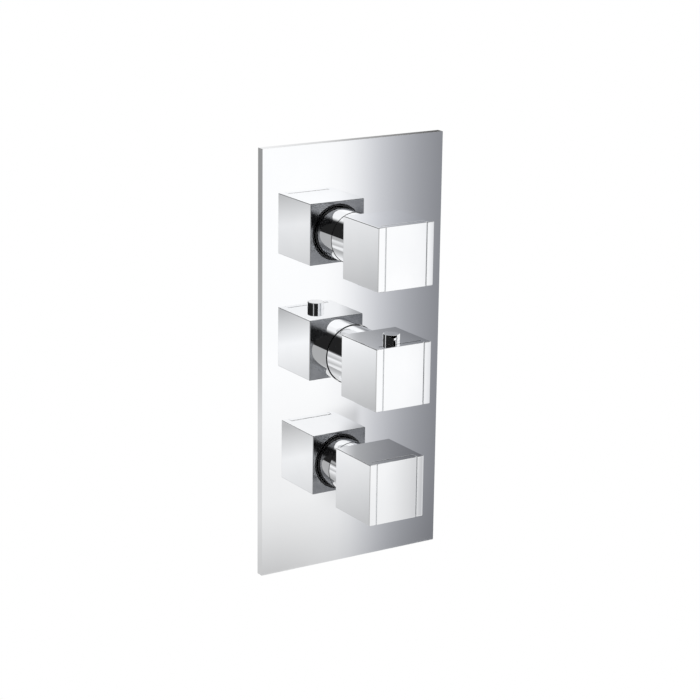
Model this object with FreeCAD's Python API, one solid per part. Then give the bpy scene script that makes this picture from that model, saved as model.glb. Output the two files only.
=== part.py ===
import FreeCAD, Part
import math
import os

# Concealed thermostatic shower valve with three square handles on one faceplate.
# Frame: the finished wall is the plane y = 0, the room is at negative y and the wall's
# inside at positive y. X is to the right and Z is up, seen from the room. The origin is
# the faceplate's centre on the wall, which is also the temperature handle's axis.

Vector = FreeCAD.Vector
os.makedirs("parts", exist_ok=True)

# General clearances
overcut = 1.0               # how far a cutting tool runs past a surface
slip = 0.05                 # radial clearance of parts that turn, slide or screw in each other
cast_edge = 0.8             # edge break on the brass body and its fittings
nut_bevel_angle = 30.0      # degrees, on the corners of hexagons
screw_edge = 0.25           # edge break on small screws and pressed parts
straight_down = 270.0       # degrees, anticlockwise from +X as seen from the room
half_turn = 180.0

# Faceplate
plate_width = 132.0
plate_height = 276.0
plate_thickness = 5.5
plate_face = 2.5            # metal left in front of the rear pocket
plate_rim = 9.0             # solid border around the rear pocket
plate_edge = 0.25
plate_seal_width = 4.0
plate_seal_thickness = 1.5

# Handle blocks
handle_pitch = 75.7         # from one handle's axis to the next
handle_size = 40.0          # width and height
handle_depth = 40.5
handle_edge = 0.3
upper_standoff = 19.5       # plate's front to handle's back
temperature_standoff = 19.2
lower_standoff = 14.0
cavity_radius = 14.8
handle_web = 3.5            # wall that the handle screw clamps
boss_radius = 8.0
boss_length = 14.0

# Front covers of the handles
cover_width = 29.2
cover_thickness = 2.0
cover_groove = 0.8          # open groove on each side of a cover
cover_edge = 0.2
peg_radius = 1.5
peg_length = 3.5
peg_offset = 10.0

# Handle screws
screw_radius = 2.0
screw_head_radius = 3.5
screw_head_height = 2.4
screw_head_bevel = 0.8
screw_socket_width = 2.5
screw_socket_depth = 1.3
screw_well_radius = 4.5
screw_well_depth = 6.0
screw_engagement = 10.0     # how far a handle screw goes into its spindle
screw_clearance = 0.3

# Splines between handle, extension and spindle
spline_teeth = 16
handle_spline_tip = 5.4
spindle_spline_tip = 4.6
spline_tooth_height = 0.5
spindle_spline_length = 10.0
extension_radius = 7.0
extension_end_gap = 0.2

# Fixed collars of the flow handles
flow_collar_radius = 16.4
flow_collar_bore = 13.6
flow_collar_reach = 4.0     # how far the collar goes into the handle
collar_hole_gap = 0.2
collar_edge = 0.2
grommet_width = 3.5
grommet_thickness = 2.4
grommet_ring_wall = 3.0

# Black glide rings in the backs of the flow handles
glide_ring_radius = 18.4
glide_ring_bore = 16.8
glide_ring_length = 8.0
glide_ring_inset = 0.4
recess_depth = 12.0

# Collar that turns with the temperature handle
temperature_collar_radius = 19.0
temperature_collar_bore = 16.0
temperature_collar_spigot = 18.0
temperature_spigot_length = 8.0
temperature_collar_tail = 6.0      # how far it reaches behind the wall surface
shadow_ring_radius = 19.4
shadow_ring_thickness = 0.4
shadow_recess_depth = 0.8
collar_seal_gap = 0.3
collar_seal_width = 1.1
collar_seal_inset = 0.3
collar_seal_flange = 2.6

# Safety button on top of the temperature handle
button_setback = 14.5       # behind the handle's front
button_radius = 5.3
button_height = 4.4         # above the handle's top
button_edge = 0.3
button_travel = 3.0
button_flange_radius = 6.4
button_flange_thickness = 1.5
button_flange_seat = 4.0    # wall above the flange
button_stem_radius = 1.6
button_stem_gap = 0.1       # left under the stem when the button is fully pressed
button_pad_height = 8.4
button_pad_radius = 7.0
button_spring_radius = 4.4
button_spring_wire = 0.35
button_spring_turns = 4

# Brass valve body
body_front = 22.0           # depth of the body's front faces behind the wall surface
flow_boss_radius = 19.0
flow_boss_depth = 34.0
flow_mouth_radius = 13.5
flow_mouth_depth = 10.0
flow_chamber_radius = 12.0
flow_chamber_depth = 28.0
flow_port_radius = 5.0
thermostat_boss_radius = 27.0
thermostat_boss_depth = 44.0
thermostat_mouth_radius = 21.0
thermostat_mouth_depth = 8.0
thermostat_chamber_radius = 19.0
thermostat_chamber_depth = 31.5
mixed_port_radius = 7.0
gallery_radius = 7.5
gallery_wall = 3.5
gallery_y = 60.0
gallery_end = 16.0          # how far the gallery runs past a flow handle's axis
rib_width = 12.0
rib_depth = 24.0

# Inlets, one on each side at the temperature handle's height
inlet_y = 40.0
inlet_boss_radius = 15.0
inlet_boss_reach = 46.0
inlet_thread_radius = 12.5
inlet_thread_length = 9.0
inlet_bore_radius = 9.2
inlet_bore_floor = 25.6
supply_port_radius = 3.4
supply_thread_radius = 9.32  # minor radius of the half-inch pipe thread
supply_thread_length = 13.0
fitting_radius = 14.0
fitting_hexagon = 30.0
fitting_hexagon_length = 7.0
fitting_tube_length = 9.0
fitting_bore_radius = 7.9
strainer_flange_radius = 8.6
strainer_flange_thickness = 1.2
strainer_wall = 0.6
strainer_gap = 0.1          # between the basket and the fitting's bore
strainer_length = 9.0
strainer_slots = 12
strainer_slot_width = 1.4
strainer_slot_length = 6.0

# Check valves
check_cage_length = 8.5
check_cage_wall = 1.5
check_seat_thickness = 1.8
check_seat_radius = 4.5
check_spider_thickness = 1.5
check_spider_legs = 3
check_spider_leg_width = 2.0
check_hub_radius = 2.8
check_stem_radius = 1.2
check_poppet_radius = 6.0
check_poppet_thickness = 1.6
check_spring_radius = 2.1
check_spring_wire = 0.2
check_spring_turns = 3

# Outlets at the top and the bottom
outlet_y = 38.0
outlet_boss_radius = 14.0
outlet_end = 118.0          # height of the outlet's end above the temperature handle's axis
outlet_thread_length = 14.0
outlet_bore_radius = 6.0

# Nuts that hold the flow cartridges and carry the fixed collars
flow_nut_hexagon = 27.0
flow_nut_head = 7.0
flow_nut_spigot = 12.0
flow_nut_bore = 10.0

# Flow cartridges
flow_flange_thickness = 2.0
flow_neck_reach = 21.0      # how far the neck comes forward of the body's front
spindle_radius = 5.0
disc_chamber_radius = 10.4
disc_chamber_start = 12.0   # behind the body's front
cartridge_waist = 0.8
cartridge_waist_length = 10.0
cartridge_windows = 4
cartridge_window_width = 7.0
flow_spindle_front = -18.0
spindle_thrust_gap = 0.1
spindle_flange_thickness = 3.8
disc_gap = 0.1
disc_thickness = 3.0
fixed_disc_thickness = 4.0
disc_port_inner = 3.0
disc_port_outer = 8.6
disc_port_angle = 80.0
drive_tongue_width = 3.0
drive_tongue_height = 1.4
drive_tongue_gap = 0.1
seat_seal_bore = 6.8
oring_wire = 0.8            # section radius of an O-ring
oring_squeeze = 0.03        # gap left at an O-ring's groove floor and bore

# Thermostatic cartridge
thermostat_nut_hexagon = 46.0
thermostat_nut_head = 7.0
thermostat_nut_bore = 12.1
thermostat_flange = 2.0
nose_front = -10.0
nose_bearing_length = 4.0
adjuster_radius = 9.0
adjuster_key_width = 3.0
adjuster_key_height = 1.2
seat_face_y = 34.8          # hot seat
port_gap = 1.2              # opening between the shuttle and each seat at rest
shuttle_length = 7.8
shuttle_radius = 16.0
shuttle_wall = 2.4
shuttle_web = 3.0
shuttle_holes = 6
shuttle_hole_radius = 2.2
shuttle_hole_circle = 9.4
housing_windows = 6
housing_window_width = 7.0
housing_window_height = 2.2
supply_groove_width = 4.0
supply_groove_depth = 1.3
thermostat_spindle_front = -23.0
thermostat_flange_radius = 7.0
thermostat_flange_thickness = 2.0
adjuster_start = 0.0
adjuster_thread_length = 13.0
adjuster_cup_radius = 6.6
adjuster_cup_depth = 11.0
thread_end_gap = 1.2        # between the spindle's end and the cup's floor
overload_spring_length = 8.0
overload_spring_wire = 0.5
overload_spring_turns = 4
thrust_cap_thickness = 2.0
wax_pin_radius = 1.5
wax_pin_length = 6.0
wax_guide_radius = 4.4
wax_collar_radius = 5.0
wax_bulb_radius = 4.0
wax_bulb_tail = 9.6         # behind the shuttle's web
end_cap_bore = 12.5
end_cap_web = 2.5
end_cap_depth = 8.0
end_cap_hole_radius = 5.6
return_spring_radius = 8.2
return_spring_wire = 0.55
return_spring_turns = 4

# Stop ring that limits the temperature handle
cold_travel = 150.0         # clockwise from the position in which the handle rests
hot_travel = 60.0
stop_margin = 2.0
stop_ring_radius = 15.3
stop_ring_back = -3.0
stop_ring_front = -9.0
stop_lug_front = -15.0
stop_arm_angle = 20.0
stop_arm_radius = 14.9
stop_arm_thickness = 3.2
stop_arm_gap = 1.3

# Mounting bracket
bracket_thickness = 2.0
bracket_gap = 1.0           # between the gallery and the bracket
bracket_centre_width = 68.0
bracket_width = 124.0
bracket_height = 70.0
bracket_step = 4.0
bracket_hole_radius = 3.2
bracket_hole_spacing_x = 104.0
bracket_hole_spacing_z = 50.0
lug_radius = 5.5
lug_spacing_x = 36.0
lug_spacing_z = 28.0
bracket_screw_radius = 2.4
bracket_screw_depth = 9.0
bracket_screw_head_radius = 4.2
bracket_screw_head_height = 2.7
bracket_screw_socket_width = 3.0
bracket_screw_socket_depth = 1.5

# Gallery plugs
plug_length = 8.0
plug_socket_width = 6.0
plug_socket_depth = 5.0

# Planes and places worked out from the sizes above
plate_front = -plate_thickness
upper_back = plate_front - upper_standoff
temperature_back = plate_front - temperature_standoff
temperature_front = temperature_back - handle_depth
lower_back = plate_front - lower_standoff
upper_z = handle_pitch
lower_z = -handle_pitch
flow_floor = body_front + flow_chamber_depth
thermostat_floor = body_front + thermostat_chamber_depth
shuttle_front = seat_face_y + port_gap
shuttle_back = shuttle_front + shuttle_length
cold_seat_y = shuttle_back + port_gap
shuttle_web_front = (shuttle_front + shuttle_back - shuttle_web) / 2
shuttle_web_back = shuttle_web_front + shuttle_web
hot_port_y = seat_face_y + housing_window_height / 2
cold_port_y = cold_seat_y - housing_window_height / 2
web_depth = cover_thickness + screw_well_depth
button_y = temperature_front + button_setback
button_seat = handle_size / 2 - button_flange_seat
button_flange_low = button_seat - button_flange_thickness
gallery_outer = gallery_radius + gallery_wall
gallery_top = handle_pitch + gallery_end
bracket_front = gallery_y + gallery_outer + bracket_gap
bracket_back = bracket_front + bracket_thickness
fitting_start = inlet_boss_reach - inlet_thread_length
fitting_end = inlet_boss_reach + fitting_hexagon_length + fitting_tube_length
check_start = fitting_start - check_cage_length


def rod_x(radius, start, end, y, z=0.0):
    return Part.makeCylinder(radius, end - start, Vector(start, y, z), Vector(1, 0, 0))


def rod_y(radius, start, end, x=0.0, z=0.0):
    return Part.makeCylinder(radius, end - start, Vector(x, start, z), Vector(0, 1, 0))


def rod_z(radius, start, end, x=0.0, y=0.0):
    return Part.makeCylinder(radius, end - start, Vector(x, y, start), Vector(0, 0, 1))


def tube_y(outer, inner, start, end, z=0.0):
    return rod_y(outer, start, end, z=z).cut(rod_y(inner, start, end, z=z))


def block(low, high):
    size = Vector(*high) - Vector(*low)
    return Part.makeBox(size.x, size.y, size.z, Vector(*low))


def turned(profile, z=0.0):
    """Solid of revolution about the line parallel to Y at height z, from (radius, y) points."""
    points = [Vector(radius, y, z) for radius, y in profile]
    face = Part.Face(Part.makePolygon(points + points[:1]))
    return face.revolve(Vector(0, 0, z), Vector(0, 1, 0), 360)


def prism_y(corners, start, end, z=0.0):
    """Prism along Y whose section has the given (x, z) corners about height z."""
    points = [Vector(x, start, z + up) for x, up in corners]
    face = Part.Face(Part.makePolygon(points + points[:1]))
    return face.extrude(Vector(0, end - start, 0))


def hexagon_corners(across_flats):
    radius = across_flats / math.sqrt(3)
    turns = [math.radians(60 * corner) for corner in range(6)]
    return [(radius * math.cos(turn), radius * math.sin(turn)) for turn in turns]


def hexagon_y(across_flats, start, end, z=0.0):
    return prism_y(hexagon_corners(across_flats), start, end, z)


def nut_head_y(across_flats, start, end, z=0.0):
    """Hexagon along Y with the corners of both ends turned down."""
    corner = across_flats / math.sqrt(3)
    face = across_flats / 2
    bevel = (corner - face) * math.tan(math.radians(nut_bevel_angle))
    profile = [
        (0, start),
        (face, start),
        (corner, start + bevel),
        (corner, end - bevel),
        (face, end),
        (0, end),
    ]
    return hexagon_y(across_flats, start, end, z).common(turned(profile, z))


def spline_y(tip, start, end, z=0.0):
    """Toothed shaft along Y with pointed teeth."""
    corners = []
    for tooth in range(spline_teeth):
        for radius, step in ((tip, 0.0), (tip - spline_tooth_height, 0.5)):
            turn = 2 * math.pi * (tooth + step) / spline_teeth
            corners.append((radius * math.cos(turn), radius * math.sin(turn)))
    return prism_y(corners, start, end, z)


def ring_of(piece, count, z=0.0):
    """The piece repeated round the Y-parallel axis at height z."""
    copies = []
    for number in range(count):
        copy = piece.copy()
        copy.rotate(Vector(0, 0, z), Vector(0, 1, 0), 360.0 * number / count)
        copies.append(copy)
    return copies


def sector_y(inner, outer, angle, middle, start, end, z=0.0):
    """Part of a ring along Y, anticlockwise from +X as seen from the room, about its middle angle."""
    first = math.radians(middle - angle / 2)
    last = math.radians(middle + angle / 2)
    centre = math.radians(middle)

    def at(radius, turn):
        return Vector(radius * math.cos(turn), start, z + radius * math.sin(turn))

    edges = [
        Part.Arc(at(outer, first), at(outer, centre), at(outer, last)).toShape(),
        Part.LineSegment(at(outer, last), at(inner, last)).toShape(),
        Part.Arc(at(inner, last), at(inner, centre), at(inner, first)).toShape(),
        Part.LineSegment(at(inner, first), at(outer, first)).toShape(),
    ]
    return Part.Face(Part.Wire(edges)).extrude(Vector(0, end - start, 0))


def bevelled(shape, size):
    """The shape with all its edges broken."""
    return shape.makeChamfer(size, shape.Edges)


def end_bevelled(shape, size):
    """A turned piece with its circular edges broken."""
    rims = [edge for edge in shape.Edges if len(edge.Vertexes) == 1]
    return shape.makeChamfer(size, rims)


def oring_y(outer, y, z=0.0):
    """O-ring about the Y-parallel axis at height z, whose outside has the given radius."""
    return Part.makeTorus(outer - oring_wire, oring_wire, Vector(0, y, z), Vector(0, 1, 0))


def oring_groove_y(outer, y, z=0.0):
    """Tool that cuts an O-ring's groove into a shaft of the given radius."""
    floor = outer - 2 * oring_wire - slip
    width = oring_wire + oring_squeeze
    return tube_y(outer + overcut, floor, y - width, y + width, z)


def coil(radius, wire, turns, length):
    """Helical wire about +Z from z = 0, inside the length, as two arcs for each quarter turn."""
    rise = length - 2 * wire
    steps = 4 * turns
    slope = rise / (2 * math.pi * turns)

    def point(step):
        turn = 2 * math.pi * turns * step / steps
        return Vector(radius * math.cos(turn), radius * math.sin(turn), wire + rise * step / steps)

    def heading(step):
        turn = 2 * math.pi * turns * step / steps
        return Vector(-radius * math.sin(turn), radius * math.cos(turn), slope).normalize()

    edges = []
    for step in range(steps):
        first, last = point(step), point(step + 1)
        leave, arrive = heading(step), heading(step + 1)
        across = last - first
        both = leave + arrive
        spread = 2 * (1 - leave.dot(arrive))
        along = across.dot(both)
        reach = (math.sqrt(along**2 + spread * across.dot(across)) - along) / spread
        corner_a = first + leave * reach
        corner_b = last - arrive * reach
        joint = (corner_a + corner_b) * 0.5
        for begin, corner, end in ((first, corner_a, joint), (joint, corner_b, last)):
            weight = math.cos((corner - begin).getAngle(end - begin))
            middle = (begin + corner * (2 * weight) + end) * (1 / (2 + 2 * weight))
            edges.append(Part.Arc(begin, middle, end).toShape())
    path = Part.Wire(edges)
    section = Part.Wire([Part.Circle(point(0), heading(0), wire).toShape()])
    pitch_gap = rise / turns - 2 * wire
    print("coil of radius", radius, "least gap between turns", round(pitch_gap, 2))
    return path.makePipeShell([section], True, False)


def coil_between_y(radius, wire, turns, start, end):
    """Spring along Y between two faces."""
    spring = coil(radius, wire, turns, end - start)
    spring.rotate(Vector(0, 0, 0), Vector(1, 0, 0), -90)
    spring.translate(Vector(0, start, 0))
    return spring


def save(name, *solids):
    shape = solids[0] if len(solids) == 1 else Part.makeCompound(list(solids))
    shape.exportStep(f"parts/{name}.step")


# Faceplate, its seal and the rubber rings in its holes


def grommet(z):
    inner = flow_collar_radius + slip
    outer = flow_collar_radius + collar_hole_gap + grommet_width
    front = plate_front + plate_face
    return tube_y(outer, inner, front, front + grommet_thickness, z)


def collar_seal():
    bore = temperature_collar_radius + collar_seal_gap
    hole = bore + collar_seal_width
    flange = hole + collar_seal_flange
    pocket = plate_front + plate_face
    return turned(
        [
            (bore, plate_front + collar_seal_inset),
            (hole, plate_front + collar_seal_inset),
            (hole, pocket),
            (flange, pocket),
            (flange, pocket + grommet_thickness),
            (bore, pocket + grommet_thickness),
        ]
    )


def seal_band(inner_gap):
    """Frame-shaped band in the middle of the plate's rim, from the wall plane forward."""
    middle = plate_rim / 2
    outer_x = plate_width / 2 - middle + plate_seal_width / 2 + inner_gap
    outer_z = plate_height / 2 - middle + plate_seal_width / 2 + inner_gap
    inner_x = outer_x - plate_seal_width - 2 * inner_gap
    inner_z = outer_z - plate_seal_width - 2 * inner_gap
    outer = block((-outer_x, -plate_seal_thickness, -outer_z), (outer_x, 0, outer_z))
    inner = block((-inner_x, -plate_seal_thickness, -inner_z), (inner_x, 0, inner_z))
    return outer.cut(inner)


def faceplate():
    half_x = plate_width / 2
    half_z = plate_height / 2
    pocket_x = half_x - plate_rim
    pocket_z = half_z - plate_rim
    pocket_floor = plate_front + plate_face
    plate = bevelled(block((-half_x, plate_front, -half_z), (half_x, 0, half_z)), plate_edge)
    plate = plate.cut(block((-pocket_x, pocket_floor, -pocket_z), (pocket_x, overcut, pocket_z)))
    flow_hole = flow_collar_radius + collar_hole_gap
    seal_hole = temperature_collar_radius + collar_seal_gap + collar_seal_width
    ring_back = pocket_floor + grommet_thickness
    for z, hole, seat in (
        (upper_z, flow_hole, flow_hole + grommet_width),
        (0.0, seal_hole, seal_hole + collar_seal_flange),
        (lower_z, flow_hole, flow_hole + grommet_width),
    ):
        plate = plate.fuse(tube_y(seat + grommet_ring_wall, seat, pocket_floor, ring_back, z))
        plate = plate.cut(rod_y(hole, plate_front - overcut, pocket_floor + overcut, z=z))
    return plate.cut(seal_band(0.0)).removeSplitter()


# Handles


def handle_shell(z, front, recess_radius, recess_length):
    half = handle_size / 2
    back = front + handle_depth
    web_front = front + web_depth
    web_back = web_front + handle_web
    shell = bevelled(block((-half, front, z - half), (half, back, z + half)), handle_edge)
    channel = cover_width / 2 + cover_groove
    channel_low = (-channel, front - overcut, z - half - overcut)
    channel_high = (channel, front + cover_thickness, z + half + overcut)
    shell = shell.cut(block(channel_low, channel_high))
    shell = shell.cut(rod_y(cavity_radius, web_back, back + overcut, z=z))
    shell = shell.cut(rod_y(recess_radius, back - recess_length, back + overcut, z=z))
    shell = shell.fuse(rod_y(boss_radius, web_back - overcut, web_back + boss_length, z=z))
    shell = shell.cut(spline_y(handle_spline_tip + slip, web_back, web_back + boss_length + overcut, z))
    shell = shell.cut(rod_y(screw_well_radius, front, web_front, z=z))
    screw_hole = screw_radius + screw_clearance
    shell = shell.cut(rod_y(screw_hole, web_front - overcut, web_back + overcut, z=z))
    for side in (-1, 1):
        peg_floor = front + cover_thickness + peg_length + slip
        shell = shell.cut(rod_y(peg_radius + slip, front, peg_floor, side * peg_offset, z))
    return shell


def handle_cover(z, front):
    half_x = cover_width / 2
    half_z = handle_size / 2
    back = front + cover_thickness
    panel = bevelled(block((-half_x, front, z - half_z), (half_x, back, z + half_z)), cover_edge)
    for side in (-1, 1):
        peg = rod_y(peg_radius, front + cover_thickness / 2, back + peg_length, side * peg_offset, z)
        panel = panel.fuse(peg)
    return panel


def handle_screw(z, front, spindle_front):
    seat = front + web_depth
    top = seat - screw_head_height
    head = turned(
        [
            (0, top),
            (screw_head_radius - screw_head_bevel, top),
            (screw_head_radius, top + screw_head_bevel),
            (screw_head_radius, seat),
            (0, seat),
        ],
        z,
    )
    screw = head.fuse(rod_y(screw_radius, seat, spindle_front + screw_engagement, z=z))
    return screw.cut(hexagon_y(screw_socket_width, top - overcut, top + screw_socket_depth, z))


def spindle_extension(z, front, spindle_front):
    """Splined coupling from a handle's boss to its cartridge's spindle, as long as the depth needs."""
    web_back = front + web_depth + handle_web
    shoulder = web_back + boss_length
    rear = spindle_front + spindle_spline_length
    piece = spline_y(handle_spline_tip, web_back + extension_end_gap, shoulder, z)
    piece = piece.fuse(rod_y(extension_radius, shoulder, rear, z=z))
    piece = piece.cut(rod_y(screw_radius + screw_clearance, web_back, rear, z=z))
    socket_floor = spindle_front - extension_end_gap
    return piece.cut(spline_y(spindle_spline_tip + slip, socket_floor, rear + overcut, z))


def glide_ring(z, back):
    """Black ring in a flow handle's back that hides the gap round the fixed collar."""
    end = back - glide_ring_inset
    return tube_y(glide_ring_radius, glide_ring_bore, end - glide_ring_length, end, z)


def flow_collar(z, back):
    start = back - flow_collar_reach
    end = body_front - flow_nut_head
    return end_bevelled(tube_y(flow_collar_radius, flow_collar_bore, start, end, z), collar_edge)


def temperature_collar():
    shoulder = temperature_back - shadow_recess_depth + shadow_ring_thickness
    front = shoulder - temperature_spigot_length
    tail = temperature_collar_tail
    outer = temperature_collar_radius
    spigot = temperature_collar_spigot
    bore = temperature_collar_bore
    return turned(
        [
            (bore, front),
            (spigot, front),
            (spigot, shoulder),
            (outer, shoulder),
            (outer, tail - collar_edge),
            (outer - collar_edge, tail),
            (bore, tail),
        ]
    )


def shadow_ring():
    front = temperature_back - shadow_recess_depth
    inner = temperature_collar_spigot + slip
    return tube_y(shadow_ring_radius, inner, front, front + shadow_ring_thickness)


def temperature_shell():
    half = handle_size / 2
    spigot_depth = shadow_recess_depth - shadow_ring_thickness + temperature_spigot_length
    shell = handle_shell(0.0, temperature_front, temperature_collar_spigot + slip, spigot_depth)
    shadow_floor = temperature_back - shadow_recess_depth
    shell = shell.cut(rod_y(shadow_ring_radius + slip, shadow_floor, temperature_back + overcut))
    pad = rod_z(button_pad_radius, 0.0, button_pad_height, y=button_y)
    shell = shell.fuse(pad.cut(rod_y(boss_radius - slip, temperature_front, temperature_back)))
    spline_front = temperature_front + web_depth + handle_web
    shell = shell.cut(spline_y(handle_spline_tip + slip, spline_front, temperature_back))
    shell = shell.cut(rod_z(button_radius + slip, button_pad_height, half + overcut, y=button_y))
    return shell.cut(rod_z(button_flange_radius + slip, button_pad_height, button_seat, y=button_y))


def safety_button():
    top = handle_size / 2 + button_height
    stem_end = button_pad_height + button_travel + button_stem_gap
    cap = end_bevelled(rod_z(button_radius, button_flange_low, top, y=button_y), button_edge)
    button = cap.fuse(rod_z(button_flange_radius, button_flange_low, button_seat, y=button_y))
    return button.fuse(rod_z(button_stem_radius, stem_end, button_flange_low, y=button_y))


def button_spring():
    length = button_flange_low - button_pad_height
    spring = coil(button_spring_radius, button_spring_wire, button_spring_turns, length)
    spring.translate(Vector(0, button_y, button_pad_height))
    return spring


# Stop ring on the cartridge's nose, and the arm that meets it


def stop_ring():
    travel = hot_travel + cold_travel
    arm_middle = straight_down + (hot_travel - cold_travel) / 2
    lug_middle = arm_middle + half_turn
    lug_angle = 360.0 - travel - stop_arm_angle - 2 * stop_margin
    inner = thermostat_nut_bore
    lug = sector_y(inner, stop_ring_radius, lug_angle, lug_middle, stop_lug_front, stop_ring_back)
    return tube_y(stop_ring_radius, inner, stop_ring_front, stop_ring_back).fuse(lug)


def temperature_extension():
    piece = spindle_extension(0.0, temperature_front, thermostat_spindle_front)
    end = nose_front - stop_arm_gap
    start = end - stop_arm_thickness
    root = extension_radius - overcut
    arm = sector_y(root, stop_arm_radius, stop_arm_angle, straight_down, start, end)
    return piece.fuse(arm)


# Brass body with its bracket, plugs and inlet fittings


def body_solids():
    """The outside of the casting: one boss for each chamber, port and lug, with a rib between them."""
    flow_back = body_front + flow_boss_depth
    thermostat_back = body_front + thermostat_boss_depth
    solids = [
        rod_y(thermostat_boss_radius, body_front, thermostat_back),
        rod_y(flow_boss_radius, body_front, flow_back, z=upper_z),
        rod_y(flow_boss_radius, body_front, flow_back, z=lower_z),
        rod_z(gallery_outer, -gallery_top, gallery_top, y=gallery_y),
        rod_x(inlet_boss_radius, -inlet_boss_reach, inlet_boss_reach, inlet_y),
        rod_z(outlet_boss_radius, upper_z, outlet_end, y=outlet_y),
        rod_z(outlet_boss_radius, -outlet_end, lower_z, y=outlet_y),
    ]
    solids = [end_bevelled(solid, cast_edge) for solid in solids]
    rib_front = gallery_y - rib_depth
    solids.append(block((-rib_width / 2, rib_front, lower_z), (rib_width / 2, gallery_y, upper_z)))
    lug_start = thermostat_back - overcut
    solids += [rod_y(lug_radius, lug_start, bracket_front, x, z) for x, z in lug_places()]
    return solids


def outlet_bores(side):
    thread_start = outlet_end - outlet_thread_length
    bore = sorted((side * (handle_pitch + outlet_bore_radius), side * (thread_start + overcut)))
    thread = sorted((side * thread_start, side * (outlet_end + overcut)))
    return [
        rod_z(outlet_bore_radius, *bore, y=outlet_y),
        rod_z(supply_thread_radius, *thread, y=outlet_y),
    ]


def inlet_bores(side):
    port_y = hot_port_y if side < 0 else cold_port_y
    bore = sorted((side * inlet_bore_floor, side * (fitting_start + overcut)))
    thread = sorted((side * fitting_start, side * (inlet_boss_reach + overcut)))
    port = sorted((side * shuttle_radius, side * (inlet_bore_floor + overcut)))
    return [
        rod_x(inlet_bore_radius, *bore, inlet_y),
        rod_x(inlet_thread_radius, *thread, inlet_y),
        rod_x(supply_port_radius, *port, port_y),
    ]


def body_bores():
    """Everything that is bored into the casting."""
    bores = [
        rod_y(thermostat_mouth_radius, body_front - overcut, body_front + thermostat_mouth_depth),
        rod_y(thermostat_chamber_radius, body_front, thermostat_floor),
        rod_y(mixed_port_radius, thermostat_floor - overcut, gallery_y),
        rod_z(gallery_radius, -gallery_top - overcut, gallery_top + overcut, y=gallery_y),
    ]
    for z in (upper_z, lower_z):
        bores.append(rod_y(flow_mouth_radius, body_front - overcut, body_front + flow_mouth_depth, z=z))
        bores.append(rod_y(flow_chamber_radius, body_front, flow_floor, z=z))
        bores.append(rod_y(flow_port_radius, flow_floor - overcut, gallery_y, z=z))
    for side in (-1, 1):
        bores += outlet_bores(side) + inlet_bores(side)
    screw_floor = bracket_back - bracket_screw_depth - bracket_thickness
    for x, z in lug_places():
        bores.append(rod_y(bracket_screw_radius + slip, screw_floor, bracket_front + overcut, x, z))
    return bores


def valve_body():
    solids = body_solids()
    return solids[0].fuse(solids[1:]).cut(body_bores()).removeSplitter()


def lug_places():
    return [(x * lug_spacing_x / 2, z * lug_spacing_z / 2) for x in (-1, 1) for z in (-1, 1)]


def mounting_bracket():
    half_z = bracket_height / 2
    inner = bracket_centre_width / 2
    outer = bracket_width / 2
    ear_back = bracket_back + bracket_step
    plate = block((-inner, bracket_front, -half_z), (inner, bracket_back, half_z))
    for side in (-1, 1):
        low, high = sorted((side * (inner - bracket_thickness), side * inner))
        plate = plate.fuse(block((low, bracket_front, -half_z), (high, ear_back, half_z)))
        low, high = sorted((side * (inner - bracket_thickness), side * outer))
        plate = plate.fuse(block((low, ear_back - bracket_thickness, -half_z), (high, ear_back, half_z)))
        for up in (-1, 1):
            x = side * bracket_hole_spacing_x / 2
            z = up * bracket_hole_spacing_z / 2
            plate = plate.cut(rod_y(bracket_hole_radius, bracket_front, ear_back + overcut, x, z))
    screw_hole = bracket_screw_radius + screw_clearance
    for x, z in lug_places():
        plate = plate.cut(rod_y(screw_hole, bracket_front - overcut, bracket_back + overcut, x, z))
    return plate.removeSplitter()


def bracket_screws():
    screws = []
    for x, z in lug_places():
        head_end = bracket_back + bracket_screw_head_height
        head = rod_y(bracket_screw_head_radius, bracket_back, head_end, x, z)
        screw = rod_y(bracket_screw_radius, bracket_back - bracket_screw_depth, bracket_back, x, z)
        screw = screw.fuse(end_bevelled(head, screw_edge))
        socket_floor = head_end - bracket_screw_socket_depth
        socket = hexagon_y(bracket_screw_socket_width, socket_floor, head_end + overcut, z)
        socket.translate(Vector(x, 0, 0))
        screws.append(screw.cut(socket))
    return screws


def gallery_plugs():
    plugs = []
    for side in (-1, 1):
        low, high = sorted((side * (gallery_top - plug_length), side * gallery_top))
        plug = rod_z(gallery_radius - slip, low, high, y=gallery_y)
        socket_floor = gallery_top - plug_socket_depth
        socket = hexagon_y(plug_socket_width, 0.0, plug_socket_depth + overcut)
        socket.rotate(Vector(0, 0, 0), Vector(1, 0, 0), side * 90)
        socket.translate(Vector(0, gallery_y, side * socket_floor))
        plugs.append(plug.cut(socket))
    return plugs


def both_sides(piece):
    """The cold side's piece, made on +X, and the hot side's, turned half round."""
    other = piece.copy()
    other.rotate(Vector(0, inlet_y, 0), Vector(0, 0, 1), 180)
    return piece, other


def inlet_fitting():
    hexagon_end = inlet_boss_reach + fitting_hexagon_length
    blank = nut_head_y(fitting_hexagon, 0.0, fitting_hexagon_length)
    blank.rotate(Vector(0, 0, 0), Vector(0, 0, 1), -90)
    blank.translate(Vector(inlet_boss_reach, inlet_y, 0))
    fitting = blank.fuse(rod_x(inlet_thread_radius - slip, fitting_start, inlet_boss_reach, inlet_y))
    tube = rod_x(fitting_radius, hexagon_end - overcut, fitting_end, inlet_y)
    fitting = fitting.fuse(end_bevelled(tube, cast_edge))
    thread_start = fitting_end - supply_thread_length
    recess_start = thread_start - strainer_flange_thickness
    for radius, start, end in (
        (fitting_bore_radius, fitting_start - overcut, thread_start + overcut),
        (strainer_flange_radius + slip, recess_start, thread_start + overcut),
        (supply_thread_radius, thread_start, fitting_end + overcut),
    ):
        fitting = fitting.cut(rod_x(radius, start, end, inlet_y))
    return fitting


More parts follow.
